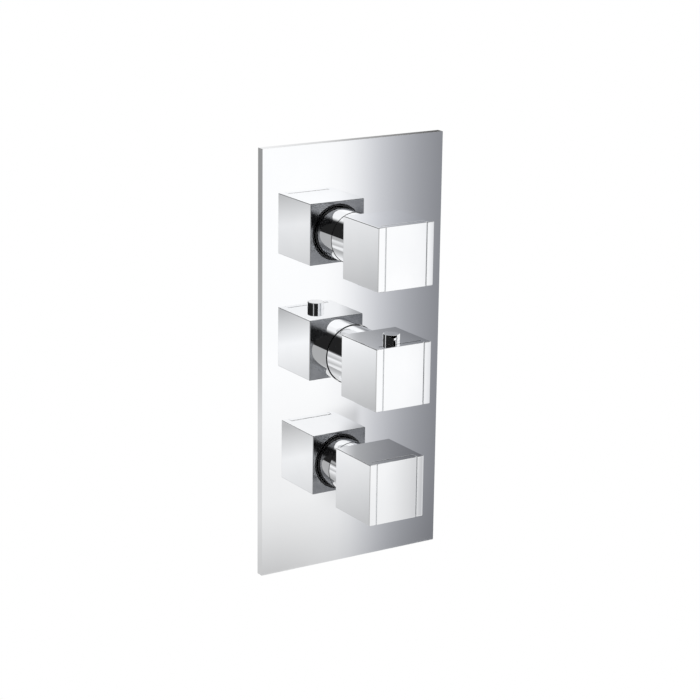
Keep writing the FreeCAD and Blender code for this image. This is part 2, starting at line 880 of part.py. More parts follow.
def strainer():
    flange_end = fitting_end - supply_thread_length
    flange_start = flange_end - strainer_flange_thickness
    start = flange_start - strainer_length
    outer = fitting_bore_radius - strainer_gap
    inner = outer - strainer_wall
    basket = rod_x(outer, start, flange_start, inlet_y)
    basket = basket.fuse(rod_x(strainer_flange_radius, flange_start, flange_end, inlet_y))
    basket = basket.cut(rod_x(inner, start + strainer_wall, flange_end + overcut, inlet_y))
    slot_start = (start + flange_start - strainer_slot_length) / 2
    for number in range(strainer_slots):
        slot = block(
            (slot_start, inlet_y - strainer_slot_width / 2, 0),
            (slot_start + strainer_slot_length, inlet_y + strainer_slot_width / 2, outer + overcut),
        )
        slot.rotate(Vector(0, inlet_y, 0), Vector(1, 0, 0), 360.0 * number / strainer_slots)
        basket = basket.cut(slot)
    return basket


def check_cage():
    seat_start = fitting_start - check_seat_thickness
    outer = inlet_bore_radius - slip
    inner = outer - check_cage_wall
    cage = rod_x(outer, check_start, fitting_start, inlet_y)
    cage = cage.cut(rod_x(inner, check_start, seat_start, inlet_y))
    cage = cage.cut(rod_x(check_seat_radius, seat_start - overcut, fitting_start + overcut, inlet_y))
    spider_end = check_start + check_spider_thickness
    cage = cage.fuse(rod_x(check_hub_radius, check_start, spider_end, inlet_y))
    for number in range(check_spider_legs):
        leg = block(
            (check_start, inlet_y - check_spider_leg_width / 2, 0),
            (spider_end, inlet_y + check_spider_leg_width / 2, inner + check_cage_wall / 2),
        )
        leg.rotate(Vector(0, inlet_y, 0), Vector(1, 0, 0), 360.0 * number / check_spider_legs)
        cage = cage.fuse(leg)
    guide = rod_x(check_stem_radius + slip, check_start - overcut, spider_end + overcut, inlet_y)
    return cage.cut(guide)


def check_poppet():
    seat_start = fitting_start - check_seat_thickness
    disc_start = seat_start - check_poppet_thickness
    disc = end_bevelled(rod_x(check_poppet_radius, disc_start, seat_start, inlet_y), screw_edge)
    return disc.fuse(rod_x(check_stem_radius, check_start, disc_start, inlet_y))


def check_spring():
    start = check_start + check_spider_thickness
    end = fitting_start - check_seat_thickness - check_poppet_thickness
    spring = coil(check_spring_radius, check_spring_wire, check_spring_turns, end - start)
    spring.rotate(Vector(0, 0, 0), Vector(0, 1, 0), 90)
    spring.translate(Vector(start, inlet_y, 0))
    return spring


# Flow cartridges


def disc_chamber_front():
    return body_front + disc_chamber_start


def flow_nut(z):
    head_front = body_front - flow_nut_head
    spigot_front = head_front - flow_nut_spigot
    thread_end = body_front + flow_mouth_depth - flow_flange_thickness
    nut = nut_head_y(flow_nut_hexagon, head_front, body_front, z)
    nut = nut.fuse(rod_y(flow_collar_bore - slip, spigot_front, head_front, z=z))
    nut = nut.fuse(rod_y(flow_mouth_radius - slip, body_front, thread_end, z=z))
    return nut.cut(rod_y(flow_nut_bore, spigot_front - overcut, thread_end + overcut, z=z))


def flow_housing(z):
    neck = flow_nut_bore - slip
    outer = flow_chamber_radius - slip
    flange = flow_mouth_radius - slip
    neck_front = body_front - flow_neck_reach
    flange_start = body_front + flow_mouth_depth - flow_flange_thickness
    flange_end = flange_start + flow_flange_thickness
    waist = outer - cartridge_waist
    waist_start = disc_chamber_front()
    waist_end = waist_start + cartridge_waist_length
    rear = flow_floor - cartridge_waist
    housing = turned(
        [
            (spindle_radius + slip, neck_front),
            (neck, neck_front),
            (neck, flange_start),
            (flange, flange_start),
            (flange, flange_end),
            (outer, flange_end),
            (outer, waist_start),
            (waist, waist_start),
            (waist, waist_end),
            (outer, waist_end),
            (outer, rear),
            (disc_chamber_radius, rear),
            (disc_chamber_radius, waist_start),
            (spindle_radius + slip, waist_start),
        ],
        z,
    )
    window_end = waist_start + spindle_flange_thickness
    window = block(
        (-cartridge_window_width / 2, waist_start, z),
        (cartridge_window_width / 2, window_end, z + outer + overcut),
    )
    window = window.cut(rod_y(spindle_radius + slip, waist_start, window_end, z=z))
    for copy in ring_of(window, cartridge_windows, z):
        housing = housing.cut(copy)
    return housing.cut(oring_groove_small(z))


def flow_oring_y():
    return (disc_chamber_front() + cartridge_waist_length + flow_floor - cartridge_waist) / 2


def oring_groove_small(z):
    outer = flow_chamber_radius - slip
    floor = outer - cartridge_waist - slip
    width = cartridge_waist / 2 + slip
    y = flow_oring_y()
    return tube_y(outer + overcut, floor, y - width, y + width, z)


def flow_oring(z):
    wire = (cartridge_waist + slip - 2 * oring_squeeze) / 2
    centre = flow_chamber_radius - slip - cartridge_waist / 2
    return Part.makeTorus(centre, wire, Vector(0, flow_oring_y(), z), Vector(0, 1, 0))


def flow_spindle(z):
    flange_start = disc_chamber_front() + spindle_thrust_gap
    flange_end = flange_start + spindle_flange_thickness
    shaft_start = flow_spindle_front + spindle_spline_length
    spindle = spline_y(spindle_spline_tip, flow_spindle_front, shaft_start, z)
    spindle = spindle.fuse(rod_y(spindle_radius, shaft_start, flange_start, z=z))
    spindle = spindle.fuse(rod_y(disc_chamber_radius - 2 * disc_gap, flange_start, flange_end, z=z))
    for copy in disc_ports(flange_start - overcut, flange_end + overcut, z):
        spindle = spindle.cut(copy)
    tongue = block(
        (-disc_port_outer, flange_end - overcut, z - drive_tongue_width / 2),
        (disc_port_outer, flange_end + drive_tongue_height, z + drive_tongue_width / 2),
    )
    spindle = spindle.fuse(tongue)
    thread_end = flow_spindle_front + screw_engagement + overcut
    return spindle.cut(rod_y(screw_radius + slip, flow_spindle_front - overcut, thread_end, z=z))


def disc_ports(start, end, z):
    """The two openings that both discs have in common, above and below their middle."""
    angles = (straight_down - half_turn, straight_down)
    return [
        sector_y(disc_port_inner, disc_port_outer, disc_port_angle, middle, start, end, z)
        for middle in angles
    ]


def moving_disc(z):
    start = disc_chamber_front() + spindle_thrust_gap + spindle_flange_thickness
    end = start + disc_thickness
    disc = rod_y(disc_chamber_radius - 2 * disc_gap, start, end, z=z)
    slot_x = disc_port_outer + drive_tongue_gap
    slot_z = drive_tongue_width / 2 + drive_tongue_gap
    slot_floor = start + drive_tongue_height + drive_tongue_gap
    disc = disc.cut(block((-slot_x, start - overcut, z - slot_z), (slot_x, slot_floor, z + slot_z)))
    for copy in disc_ports(start - overcut, end + overcut, z):
        disc = disc.cut(copy)
    return disc


def fixed_disc_start():
    return disc_chamber_front() + spindle_thrust_gap + spindle_flange_thickness + disc_thickness


def fixed_disc(z):
    """Its openings lie a quarter turn from the moving disc's, so the valve is shut at rest."""
    start = fixed_disc_start()
    end = start + fixed_disc_thickness
    disc = rod_y(disc_chamber_radius - disc_gap, start, end, z=z)
    for copy in disc_ports(start - overcut, end + overcut, z):
        copy.rotate(Vector(0, 0, z), Vector(0, 1, 0), 90)
        disc = disc.cut(copy)
    return disc


def seat_seal(z):
    start = fixed_disc_start() + fixed_disc_thickness
    return tube_y(disc_chamber_radius - disc_gap, seat_seal_bore, start, flow_floor, z)


# Thermostatic cartridge


def thermostat_nut():
    head_front = body_front - thermostat_nut_head
    thread_end = body_front + thermostat_mouth_depth - thermostat_flange
    nut = nut_head_y(thermostat_nut_hexagon, head_front, body_front)
    nut = nut.fuse(rod_y(thermostat_mouth_radius - slip, body_front, thread_end))
    return nut.cut(rod_y(thermostat_nut_bore, head_front - overcut, thread_end + overcut))


def thermostat_housing():
    nose = thermostat_nut_bore - slip
    outer = thermostat_chamber_radius - slip
    flange = thermostat_mouth_radius - slip
    flange_start = body_front + thermostat_mouth_depth - thermostat_flange
    flange_end = flange_start + thermostat_flange
    bearing_end = nose_front + nose_bearing_length
    groove = outer - supply_groove_depth
    half_groove = supply_groove_width / 2
    housing = turned(
        [
            (spindle_radius + slip, nose_front),
            (nose, nose_front),
            (nose, flange_start),
            (flange, flange_start),
            (flange, flange_end),
            (outer, flange_end),
            (outer, hot_port_y - half_groove),
            (groove, hot_port_y - half_groove),
            (groove, hot_port_y + half_groove),
            (outer, hot_port_y + half_groove),
            (outer, cold_port_y - half_groove),
            (groove, cold_port_y - half_groove),
            (groove, cold_port_y + half_groove),
            (outer, cold_port_y + half_groove),
            (outer, thermostat_floor),
            (shuttle_radius, thermostat_floor),
            (shuttle_radius, seat_face_y),
            (adjuster_radius + slip, seat_face_y),
            (adjuster_radius + slip, bearing_end),
            (spindle_radius + slip, bearing_end),
        ]
    )
    half_x = housing_window_width / 2
    half_y = housing_window_height / 2
    inner = shuttle_radius - shuttle_wall
    for port_y in (hot_port_y, cold_port_y):
        window = block((-half_x, port_y - half_y, inner), (half_x, port_y + half_y, outer + overcut))
        for copy in ring_of(window, housing_windows):
            housing = housing.cut(copy)
    for y in thermostat_oring_places():
        housing = housing.cut(oring_groove_y(outer, y))
    for key in adjuster_keys(slip, bearing_end, seat_face_y + overcut):
        housing = housing.cut(key)
    return housing


def thermostat_oring_places():
    """Before the hot groove, between the grooves and behind the cold one."""
    half_groove = supply_groove_width / 2
    first = (body_front + thermostat_mouth_depth + hot_port_y - half_groove) / 2
    middle = (hot_port_y + cold_port_y) / 2
    last = (cold_port_y + half_groove + thermostat_floor) / 2
    return first, middle, last


def adjuster_keys(gap, start, end):
    """The two keys that run along the adjusting nut, wider all round by the gap."""
    half = adjuster_key_width / 2 + gap
    tip = adjuster_radius + adjuster_key_height + gap
    root = adjuster_radius - overcut
    left = block((-tip, start, -half), (-root, end, half))
    right = block((root, start, -half), (tip, end, half))
    return left, right


def adjusting_nut():
    """Nut that the thermostat's spindle drives in and out. Its keys stop it from turning."""
    cup_floor = adjuster_start + adjuster_thread_length
    end = cup_floor + adjuster_cup_depth
    nut = rod_y(adjuster_radius, adjuster_start, end)
    for key in adjuster_keys(0.0, adjuster_start, end):
        nut = nut.fuse(key)
    nut = nut.cut(rod_y(spindle_radius + slip, adjuster_start - overcut, cup_floor + overcut))
    return nut.cut(rod_y(adjuster_cup_radius, cup_floor, end + overcut))


def thrust_cap_start():
    return adjuster_start + adjuster_thread_length + overload_spring_length


def overload_spring():
    radius = adjuster_cup_radius - slip - 2 * overload_spring_wire
    start = adjuster_start + adjuster_thread_length
    wire = overload_spring_wire
    return coil_between_y(radius, wire, overload_spring_turns, start, thrust_cap_start())


def thrust_cap():
    start = thrust_cap_start()
    cap = rod_y(adjuster_cup_radius - slip, start, start + thrust_cap_thickness)
    return end_bevelled(cap, screw_edge)


def wax_element():
    pin_start = thrust_cap_start() + thrust_cap_thickness
    guide_start = pin_start + wax_pin_length
    tail_end = shuttle_web_back + wax_bulb_tail
    return turned(
        [
            (0, pin_start),
            (wax_pin_radius, pin_start),
            (wax_pin_radius, guide_start),
            (wax_guide_radius, guide_start),
            (wax_guide_radius, shuttle_web_front),
            (wax_collar_radius, shuttle_web_front),
            (wax_collar_radius, shuttle_web_back),
            (wax_bulb_radius, shuttle_web_back),
            (wax_bulb_radius, tail_end - screw_edge),
            (wax_bulb_radius - screw_edge, tail_end),
            (0, tail_end),
        ]
    )


def shuttle():
    outer = shuttle_radius - slip
    inner = outer - shuttle_wall
    piece = rod_y(outer, shuttle_front, shuttle_back)
    piece = piece.cut(rod_y(inner, shuttle_front - overcut, shuttle_web_front))
    piece = piece.cut(rod_y(inner, shuttle_web_back, shuttle_back + overcut))
    hole_start = shuttle_web_front - overcut
    hole_end = shuttle_web_back + overcut
    piece = piece.cut(rod_y(wax_collar_radius + slip, hole_start, hole_end))
    hole = rod_y(shuttle_hole_radius, hole_start, hole_end, z=shuttle_hole_circle)
    for copy in ring_of(hole, shuttle_holes):
        piece = piece.cut(copy)
    return piece


def thermostat_end_cap():
    """Ring screwed into the housing's end. It is the cold seat and carries the return spring."""
    web_start = cold_seat_y + end_cap_depth - end_cap_web
    end = cold_seat_y + end_cap_depth
    cap = rod_y(shuttle_radius - slip, cold_seat_y, end)
    cap = cap.cut(rod_y(end_cap_bore, cold_seat_y - overcut, web_start))
    cap = cap.cut(rod_y(end_cap_hole_radius, web_start - overcut, end + overcut))
    hole = rod_y(shuttle_hole_radius, web_start - overcut, end + overcut, z=shuttle_hole_circle)
    for copy in ring_of(hole, shuttle_holes):
        cap = cap.cut(copy)
    return cap


def return_spring():
    end = cold_seat_y + end_cap_depth - end_cap_web
    wire = return_spring_wire
    return coil_between_y(return_spring_radius, wire, return_spring_turns, shuttle_web_back, end)


def thermostat_spindle():
    front = thermostat_spindle_front
    shaft_start = front + spindle_spline_length
    bearing_end = nose_front + nose_bearing_length
    flange_start = bearing_end + spindle_thrust_gap
    flange_end = flange_start + thermostat_flange_thickness
    thread_end = adjuster_start + adjuster_thread_length - thread_end_gap
    spindle = spline_y(spindle_spline_tip, front, shaft_start)
    spindle = spindle.fuse(rod_y(spindle_radius, shaft_start, thread_end))
    spindle = spindle.fuse(rod_y(thermostat_flange_radius, flange_start, flange_end))
    return spindle.cut(rod_y(screw_radius + slip, front - overcut, front + screw_engagement + overcut))


def build():
    save("faceplate", faceplate())
    save("plate_seal", seal_band(-slip))
    save("collar_grommets", grommet(upper_z), grommet(lower_z))
    save("temperature_collar_seal", collar_seal())

    for side, z, back in (("upper", upper_z, upper_back), ("lower", lower_z, lower_back)):
        front = back - handle_depth
        save(f"{side}_handle_shell", handle_shell(z, front, glide_ring_radius + slip, recess_depth))
        save(f"{side}_handle_cover", handle_cover(z, front))
        save(f"{side}_handle_screw", handle_screw(z, front, flow_spindle_front))
        save(f"{side}_handle_ring", glide_ring(z, back))
        save(f"{side}_spindle_extension", spindle_extension(z, front, flow_spindle_front))
        save(f"{side}_collar", flow_collar(z, back))
        save(f"{side}_cartridge_housing", flow_housing(z))
        save(f"{side}_spindle", flow_spindle(z))
        save(f"{side}_moving_disc", moving_disc(z))
        save(f"{side}_fixed_disc", fixed_disc(z))
    save("cartridge_nuts", flow_nut(upper_z), flow_nut(lower_z))
    save("cartridge_orings", flow_oring(upper_z), flow_oring(lower_z))
    save("seat_seals", seat_seal(upper_z), seat_seal(lower_z))

    save("temperature_handle_shell", temperature_shell())
    save("temperature_handle_cover", handle_cover(0.0, temperature_front))
    save("temperature_handle_screw", handle_screw(0.0, temperature_front, thermostat_spindle_front))
    save("temperature_handle_ring", shadow_ring())
    save("temperature_collar", temperature_collar())
    save("temperature_spindle_extension", temperature_extension())
    save("safety_button", safety_button())
    save("button_spring", button_spring())
    save("stop_ring", stop_ring())

    save("thermostat_nut", thermostat_nut())
    save("thermostat_housing", thermostat_housing())
    outer = thermostat_chamber_radius - oring_squeeze
    save("thermostat_orings", *[oring_y(outer, y) for y in thermostat_oring_places()])
    save("thermostat_spindle", thermostat_spindle())
    save("adjusting_nut", adjusting_nut())
    save("overload_spring", overload_spring())
    save("thrust_cap", thrust_cap())
    save("wax_element", wax_element())
    save("shuttle", shuttle())
    save("return_spring", return_spring())
    save("thermostat_end_cap", thermostat_end_cap())

    save("valve_body", valve_body())
    save("gallery_plugs", *gallery_plugs())
    save("mounting_bracket", mounting_bracket())
    save("bracket_screws", *bracket_screws())
    for name, piece in (
        ("inlet_fitting", inlet_fitting()),
        ("check_poppet", check_poppet()),
        ("check_spring", check_spring()),
    ):
        cold, hot = both_sides(piece)
        save(f"cold_{name}", cold)
        save(f"hot_{name}", hot)
    save("check_cages", *both_sides(check_cage()))
    save("inlet_strainers", *both_sides(strainer()))


build()
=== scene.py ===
import math

import bmesh
import bpy
from mathutils import Matrix, Vector


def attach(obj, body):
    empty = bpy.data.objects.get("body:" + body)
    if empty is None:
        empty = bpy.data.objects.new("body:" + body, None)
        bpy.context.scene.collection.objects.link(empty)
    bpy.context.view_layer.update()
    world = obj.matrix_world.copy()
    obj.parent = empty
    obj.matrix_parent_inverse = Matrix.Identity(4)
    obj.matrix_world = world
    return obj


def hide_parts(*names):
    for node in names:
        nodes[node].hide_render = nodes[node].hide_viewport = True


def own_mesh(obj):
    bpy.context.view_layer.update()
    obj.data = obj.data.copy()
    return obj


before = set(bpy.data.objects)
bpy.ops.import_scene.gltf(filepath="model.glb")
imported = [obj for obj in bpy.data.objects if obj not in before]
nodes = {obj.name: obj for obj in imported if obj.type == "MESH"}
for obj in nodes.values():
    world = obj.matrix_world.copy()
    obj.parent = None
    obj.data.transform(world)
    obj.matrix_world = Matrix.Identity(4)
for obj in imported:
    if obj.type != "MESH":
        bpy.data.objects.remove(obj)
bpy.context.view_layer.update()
mm = 0.001
print("stage: frame loaded,", len(nodes), "nodes")


class Wire:
    # a node's socket that can be used in sums
    def __init__(self, tree, socket=None):
        self.tree, self.socket = tree, socket

    def feed(self, socket, value):
        if isinstance(value, Wire):
            self.tree.links.new(value.socket, socket)
        else:
            socket.default_value = value

    def node(self, kind, settings=None, sockets=None, out=0):
        # any node: its settings first, then the values or links of its sockets
        made = self.tree.nodes.new(kind)
        for name, value in (settings or {}).items():
            if name == "stops":  # of a colour ramp, as (place, colour)
                ramp = made.color_ramp
                ramp.elements[0].position = value[0][0]
                ramp.elements[1].position = value[-1][0]
                for place, _ in value[1:-1]:
                    ramp.elements.new(place)
                for stop, (_, colour) in zip(ramp.elements, value):
                    stop.color = (*colour, 1.0)
            else:
                setattr(made, name, value)
        for name, value in (sockets or {}).items():
            self.feed(made.inputs[name], value)
        return Wire(self.tree, made.outputs[out])

    def maths(self, operation, first, second=0.0):
        return self.node("ShaderNodeMath", {"operation": operation}, {0: first, 1: second})

    def __add__(self, other):
        return self.maths("ADD", self, other)

    def __sub__(self, other):
        return self.maths("SUBTRACT", self, other)

    def __mul__(self, other):
        return self.maths("MULTIPLY", self, other)

    def __rsub__(self, other):
        return self.maths("SUBTRACT", other, self)

    __radd__ = __add__
    __rmul__ = __mul__

    def axes(self):  # a vector's x, y and z
        parts = self.node("ShaderNodeSeparateXYZ", None, {"Vector": self})
        return [Wire(self.tree, output) for output in parts.socket.node.outputs]

    def spread(self, low, high, outLow=0.0, outHigh=1.0):  # eases from one value to another
        return self.node("ShaderNodeMapRange", {"interpolation_type": "SMOOTHSTEP"},
                         {"Value": self, "From Min": low, "From Max": high, "To Min": outLow, "To Max": outHigh})

    def tone(self, dark, light):  # a colour between two, by this value
        return self.node("ShaderNodeMix", {"data_type": "RGBA"},
                         {"Factor": self, 6: (*dark, 1.0), 7: (*light, 1.0)}, out=2)


def newMaterial(name, metallic, coat=0.0):
    material = bpy.data.materials.new(name)
    material.use_nodes = True
    shader = material.node_tree.nodes["Principled BSDF"]
    shader.inputs["Metallic"].default_value = metallic
    shader.inputs["Coat Weight"].default_value = coat
    wire = Wire(material.node_tree)
    coords = wire.node("ShaderNodeTexCoord", out="Object")
    return material, shader, wire, coords


def grain(wire, coords, scale, detail=3.0, stretch=(1.0, 1.0, 1.0)):
    placed = wire.node("ShaderNodeMapping", None, {"Vector": coords, "Scale": stretch})
    return wire.node("ShaderNodeTexNoise", None, {"Vector": placed, "Scale": scale, "Detail": detail})


noiseSpan = (0.3, 0.7)  # where nearly all of a noise lies


def colourBy(wire, shader, pattern, p, span=noiseSpan):
    wire.feed(shader.inputs["Base Color"], pattern.spread(*span).tone(p["dark"], p["light"]))


def roughBy(wire, shader, pattern, p, span=noiseSpan):
    wire.feed(shader.inputs["Roughness"], pattern.spread(*span, *p["rough"]))


def bumpBy(wire, shader, height, p):
    strength, depth = p["bump"]
    bump = wire.node("ShaderNodeBump", None, {"Strength": strength, "Distance": depth, "Height": height})
    wire.feed(shader.inputs["Normal"], bump)


# hard chrome: the scale of its polishing haze and of its hairline buffing marks, by piece
chromeLook = {"dark": (0.885, 0.893, 0.905), "light": (0.915, 0.92, 0.928), "rough": (0.012, 0.035),
              "hazeShare": 0.7, "along": (1.0, 1.0, 0.06),
              "scales": {"plateChrome": (9.0, 260.0), "handleChrome": (30.0, 400.0), "collarChrome": (40.0, 500.0)}}


def polishedChrome(name, p):
    material, shader, wire, coords = newMaterial(name, 1.0)
    hazeScale, hairScale = p["scales"][name]
    haze = grain(wire, coords, hazeScale, 4.0)
    hairs = grain(wire, coords, hairScale, 2.0, p["along"])
    colourBy(wire, shader, haze, p)
    roughBy(wire, shader, haze * p["hazeShare"] + hairs * (1 - p["hazeShare"]), p, (0.3, 0.75))
    return material


# thin unbuffed plating on the sides that nobody sees
satinLook = {"dark": (0.25, 0.255, 0.265), "light": (0.4, 0.405, 0.415), "rough": (0.12, 0.2),
             "clouds": 70.0, "pits": 900.0, "bump": (0.1, 0.00004)}


def satinChrome(p):
    material, shader, wire, coords = newMaterial("satinChrome", 1.0)
    clouds = grain(wire, coords, p["clouds"], 4.0)
    colourBy(wire, shader, clouds, p)
    roughBy(wire, shader, clouds, p)
    bumpBy(wire, shader, grain(wire, coords, p["pits"], 2.0), p)
    return material


plasticLook = {"blackPlastic": {"dark": (0.008, 0.008, 0.009), "light": (0.016, 0.016, 0.018), "rough": (0.28, 0.4)},
               "whitePlastic": {"dark": (0.74, 0.74, 0.71), "light": (0.82, 0.82, 0.8), "rough": (0.32, 0.44)},
               "clouds": 120.0, "pits": 1800.0, "bump": (0.15, 0.00004)}


def mouldedPlastic(name, p):
    material, shader, wire, coords = newMaterial(name, 0.0)
    clouds = grain(wire, coords, p["clouds"])
    colourBy(wire, shader, clouds, p[name])
    roughBy(wire, shader, clouds, p[name], (0.25, 0.8))
    bumpBy(wire, shader, grain(wire, coords, p["pits"], 1.0), p)
    return material


rubberLook = {"dark": (0.012, 0.012, 0.012), "light": (0.03, 0.03, 0.031), "rough": (0.55, 0.75),
              "clouds": 160.0, "pits": 2600.0, "bump": (0.3, 0.00003)}


def sealRubber(p):
    material, shader, wire, coords = newMaterial("sealRubber", 0.0)
    clouds = grain(wire, coords, p["clouds"], 4.0)
    colourBy(wire, shader, clouds, p)
    roughBy(wire, shader, clouds, p)
    bumpBy(wire, shader, grain(wire, coords, p["pits"], 1.0), p)
    return material


# sand-cast skin with machined ends; the cuts (m) are where the body's front, inlets and outlets begin
brassLook = {"castDark": (0.30, 0.195, 0.085), "castLight": (0.47, 0.33, 0.16), "castRough": (0.42, 0.6),
             "cutDark": (0.62, 0.44, 0.2), "cutLight": (0.78, 0.58, 0.3), "cutSmoother": 0.24,
             "cutFront": (0.0222, 0.0226), "cutSides": (0.0454, 0.0458), "cutEnds": (0.1174, 0.1178),
             "skin": 420.0, "blotches": 45.0, "cutMarks": 1500.0, "bump": (0.55, 0.00035)}


def castBrass(p):
    material, shader, wire, coords = newMaterial("castBrass", 1.0)
    x, y, z = coords.axes()
    cutFront = y.spread(*p["cutFront"], 1.0, 0.0)
    cutSides = wire.maths("ABSOLUTE", x).spread(*p["cutSides"])
    cutEnds = wire.maths("ABSOLUTE", z).spread(*p["cutEnds"])
    cut = wire.maths("MAXIMUM", wire.maths("MAXIMUM", cutFront, cutSides), cutEnds)
    skin = grain(wire, coords, p["skin"], 6.0)
    blotches = grain(wire, coords, p["blotches"], 4.0)
    marks = grain(wire, coords, p["cutMarks"], 2.0)
    cast = (blotches * 0.6 + skin * 0.4).spread(*noiseSpan).tone(p["castDark"], p["castLight"])
    clean = blotches.spread(*noiseSpan).tone(p["cutDark"], p["cutLight"])
    wire.feed(shader.inputs["Base Color"],
              wire.node("ShaderNodeMix", {"data_type": "RGBA"}, {"Factor": cut, 6: cast, 7: clean}, out=2))
    wire.feed(shader.inputs["Roughness"], skin.spread(*noiseSpan, *p["castRough"]) - cut * p["cutSmoother"])
    bumpBy(wire, shader, skin * (1 - cut) + marks * (0.35 - cut * 0.3), p)
    return material


# metal with fine tool marks: their scale, and the way they run
brassCut = {"dark": brassLook["cutDark"], "light": brassLook["cutLight"], "rough": (0.18, 0.32), "marks": 2600.0,
            "clouds": 90.0, "bump": (0.25, 0.00005)}
steelLook = {"dark": (0.46, 0.47, 0.49), "light": (0.62, 0.63, 0.64), "clouds": 90.0, "bump": (0.25, 0.00005)}
turnedLook = {"turnedBrass": {**brassCut, "along": (0.02, 1.0, 0.02)},
              "turnedBrassAcross": {**brassCut, "along": (1.0, 0.02, 0.02)},
              "springWire": {**steelLook, "rough": (0.2, 0.34), "marks": 900.0, "along": (1.0, 1.0, 1.0)},
              "screwSteel": {**steelLook, "rough": (0.24, 0.38), "marks": 1500.0, "along": (0.02, 1.0, 0.02)}}


def turnedMetal(name, p):
    material, shader, wire, coords = newMaterial(name, 1.0)
    clouds = grain(wire, coords, p["clouds"], 4.0)
    marks = grain(wire, coords, p["marks"], 2.0, p["along"])
    colourBy(wire, shader, clouds * 0.7 + marks * 0.3, p)
    roughBy(wire, shader, clouds * 0.5 + marks * 0.5, p)
    bumpBy(wire, shader, marks, p)
    return material


# galvanised sheet with its broad crystals
zincLook = {"dark": (0.40, 0.42, 0.45), "light": (0.66, 0.67, 0.66), "rough": (0.3, 0.48),
            "crystals": 330.0, "clouds": 60.0, "pits": 700.0, "bump": (0.2, 0.0001)}


def zincPlate(p):
    material, shader, wire, coords = newMaterial("zincPlate", 1.0)
    crystals = wire.node("ShaderNodeTexVoronoi", {"feature": "F1"},
                         {"Vector": coords, "Scale": p["crystals"], "Randomness": 1.0}, out="Color")
    shade = wire.node("ShaderNodeSeparateColor", None, {"Color": crystals})
    pattern = shade * 0.6 + grain(wire, coords, p["clouds"], 4.0) * 0.4
    colourBy(wire, shader, pattern, p, (0.15, 0.85))
    roughBy(wire, shader, pattern, p, (0.1, 0.9))
    bumpBy(wire, shader, grain(wire, coords, p["pits"], 3.0), p)
    return material


ceramicLook = {"dark": (0.72, 0.7, 0.66), "light": (0.8, 0.79, 0.76), "rough": (0.12, 0.22),
               "specks": 900.0, "glaze": 0.3}


def discCeramic(p):
    material, shader, wire, coords = newMaterial("discCeramic", 0.0, p["glaze"])
    specks = grain(wire, coords, p["specks"], 2.0)
    colourBy(wire, shader, specks, p, (0.35, 0.65))
    roughBy(wire, shader, specks, p)
    return material


plateChrome, handleChrome, collarChrome = (polishedChrome(name, chromeLook) for name in chromeLook["scales"])
backSatin = satinChrome(satinLook)
blackPlastic, whitePlastic = (mouldedPlastic(name, plasticLook) for name in ("blackPlastic", "whitePlastic"))
rubber = sealRubber(rubberLook)
bodyBrass = castBrass(brassLook)
turnedBrass, turnedBrassAcross, springWire, screwSteel = (turnedMetal(name, p) for name, p in turnedLook.items())
sheetZinc = zincPlate(zincLook)
ceramic = discCeramic(ceramicLook)
print("stage: finishes made")

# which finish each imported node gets
nodeFinish = {
    plateChrome: ["faceplate"],
    handleChrome: ["upper_handle_shell", "lower_handle_shell", "temperature_handle_shell", "upper_handle_cover",
                   "lower_handle_cover", "temperature_handle_cover", "safety_button"],
    collarChrome: ["upper_collar", "lower_collar", "temperature_collar"],
    blackPlastic: ["upper_handle_ring", "lower_handle_ring", "temperature_handle_ring", "stop_ring"],
    whitePlastic: ["check_cages", "hot_check_poppet", "cold_check_poppet", "shuttle", "thermostat_end_cap"],
    rubber: ["plate_seal", "collar_grommets", "temperature_collar_seal", "cartridge_orings", "seat_seals",
             "thermostat_orings"],
    bodyBrass: ["valve_body"],
    turnedBrass: ["cartridge_nuts", "thermostat_nut", "upper_cartridge_housing", "lower_cartridge_housing",
                  "thermostat_housing", "upper_spindle", "lower_spindle", "thermostat_spindle",
                  "upper_spindle_extension", "lower_spindle_extension", "temperature_spindle_extension",
                  "adjusting_nut", "thrust_cap", "wax_element", "gallery_plugs"],
    turnedBrassAcross: ["hot_inlet_fitting", "cold_inlet_fitting"],
    springWire: ["button_spring", "overload_spring", "return_spring", "hot_check_spring", "cold_check_spring",
                 "inlet_strainers"],
    screwSteel: ["upper_handle_screw", "lower_handle_screw", "temperature_handle_screw", "bracket_screws"],
    sheetZinc: ["mounting_bracket"],
    ceramic: ["upper_moving_disc", "lower_moving_disc", "upper_fixed_disc", "lower_fixed_disc"],
}
for finish, names in nodeFinish.items():
    for name in names:
        mesh = nodes[name].data
        mesh.materials.clear()
        mesh.materials.append(finish)
print("stage: packed nodes finished")

past = 3.0  # how far a cutter reaches past what it cuts (mm)


def clearSelection():
    if bpy.context.object and bpy.context.object.mode != "OBJECT":
        bpy.ops.object.mode_set(mode="OBJECT")
    bpy.ops.object.select_all(action="DESELECT")


def pick(piece):
    clearSelection()
    piece.select_set(True)
    bpy.context.view_layer.objects.active = piece


def settle(name):
    # names the primitive just added, and puts its place into its mesh
    piece = bpy.context.object
    piece.name = name
    bpy.ops.object.transform_apply(location=True, rotation=True, scale=True)
    return piece


def block(name, low, high):
    clearSelection()
    middle = [(a + b) / 2 * mm for a, b in zip(low, high)]
    bpy.ops.mesh.primitive_cube_add(size=1.0, location=middle, scale=[(b - a) * mm for a, b in zip(low, high)])
    return settle(name)


def drum(name, radius, start, end, z=0.0, sides=96):
    # a round bar along y
    clearSelection()
    bpy.ops.mesh.primitive_cylinder_add(vertices=sides, radius=radius * mm, depth=(end - start) * mm,
                                        location=(0, (start + end) / 2 * mm, z * mm), rotation=(math.pi / 2, 0, 0))
    return settle(name)


def upright(name, radius, low, high, y, sides=96):
    # a round bar along z
    clearSelection()
    bpy.ops.mesh.primitive_cylinder_add(vertices=sides, radius=radius * mm, depth=(high - low) * mm,
                                        location=(0, y * mm, (low + high) / 2 * mm))
    return settle(name)


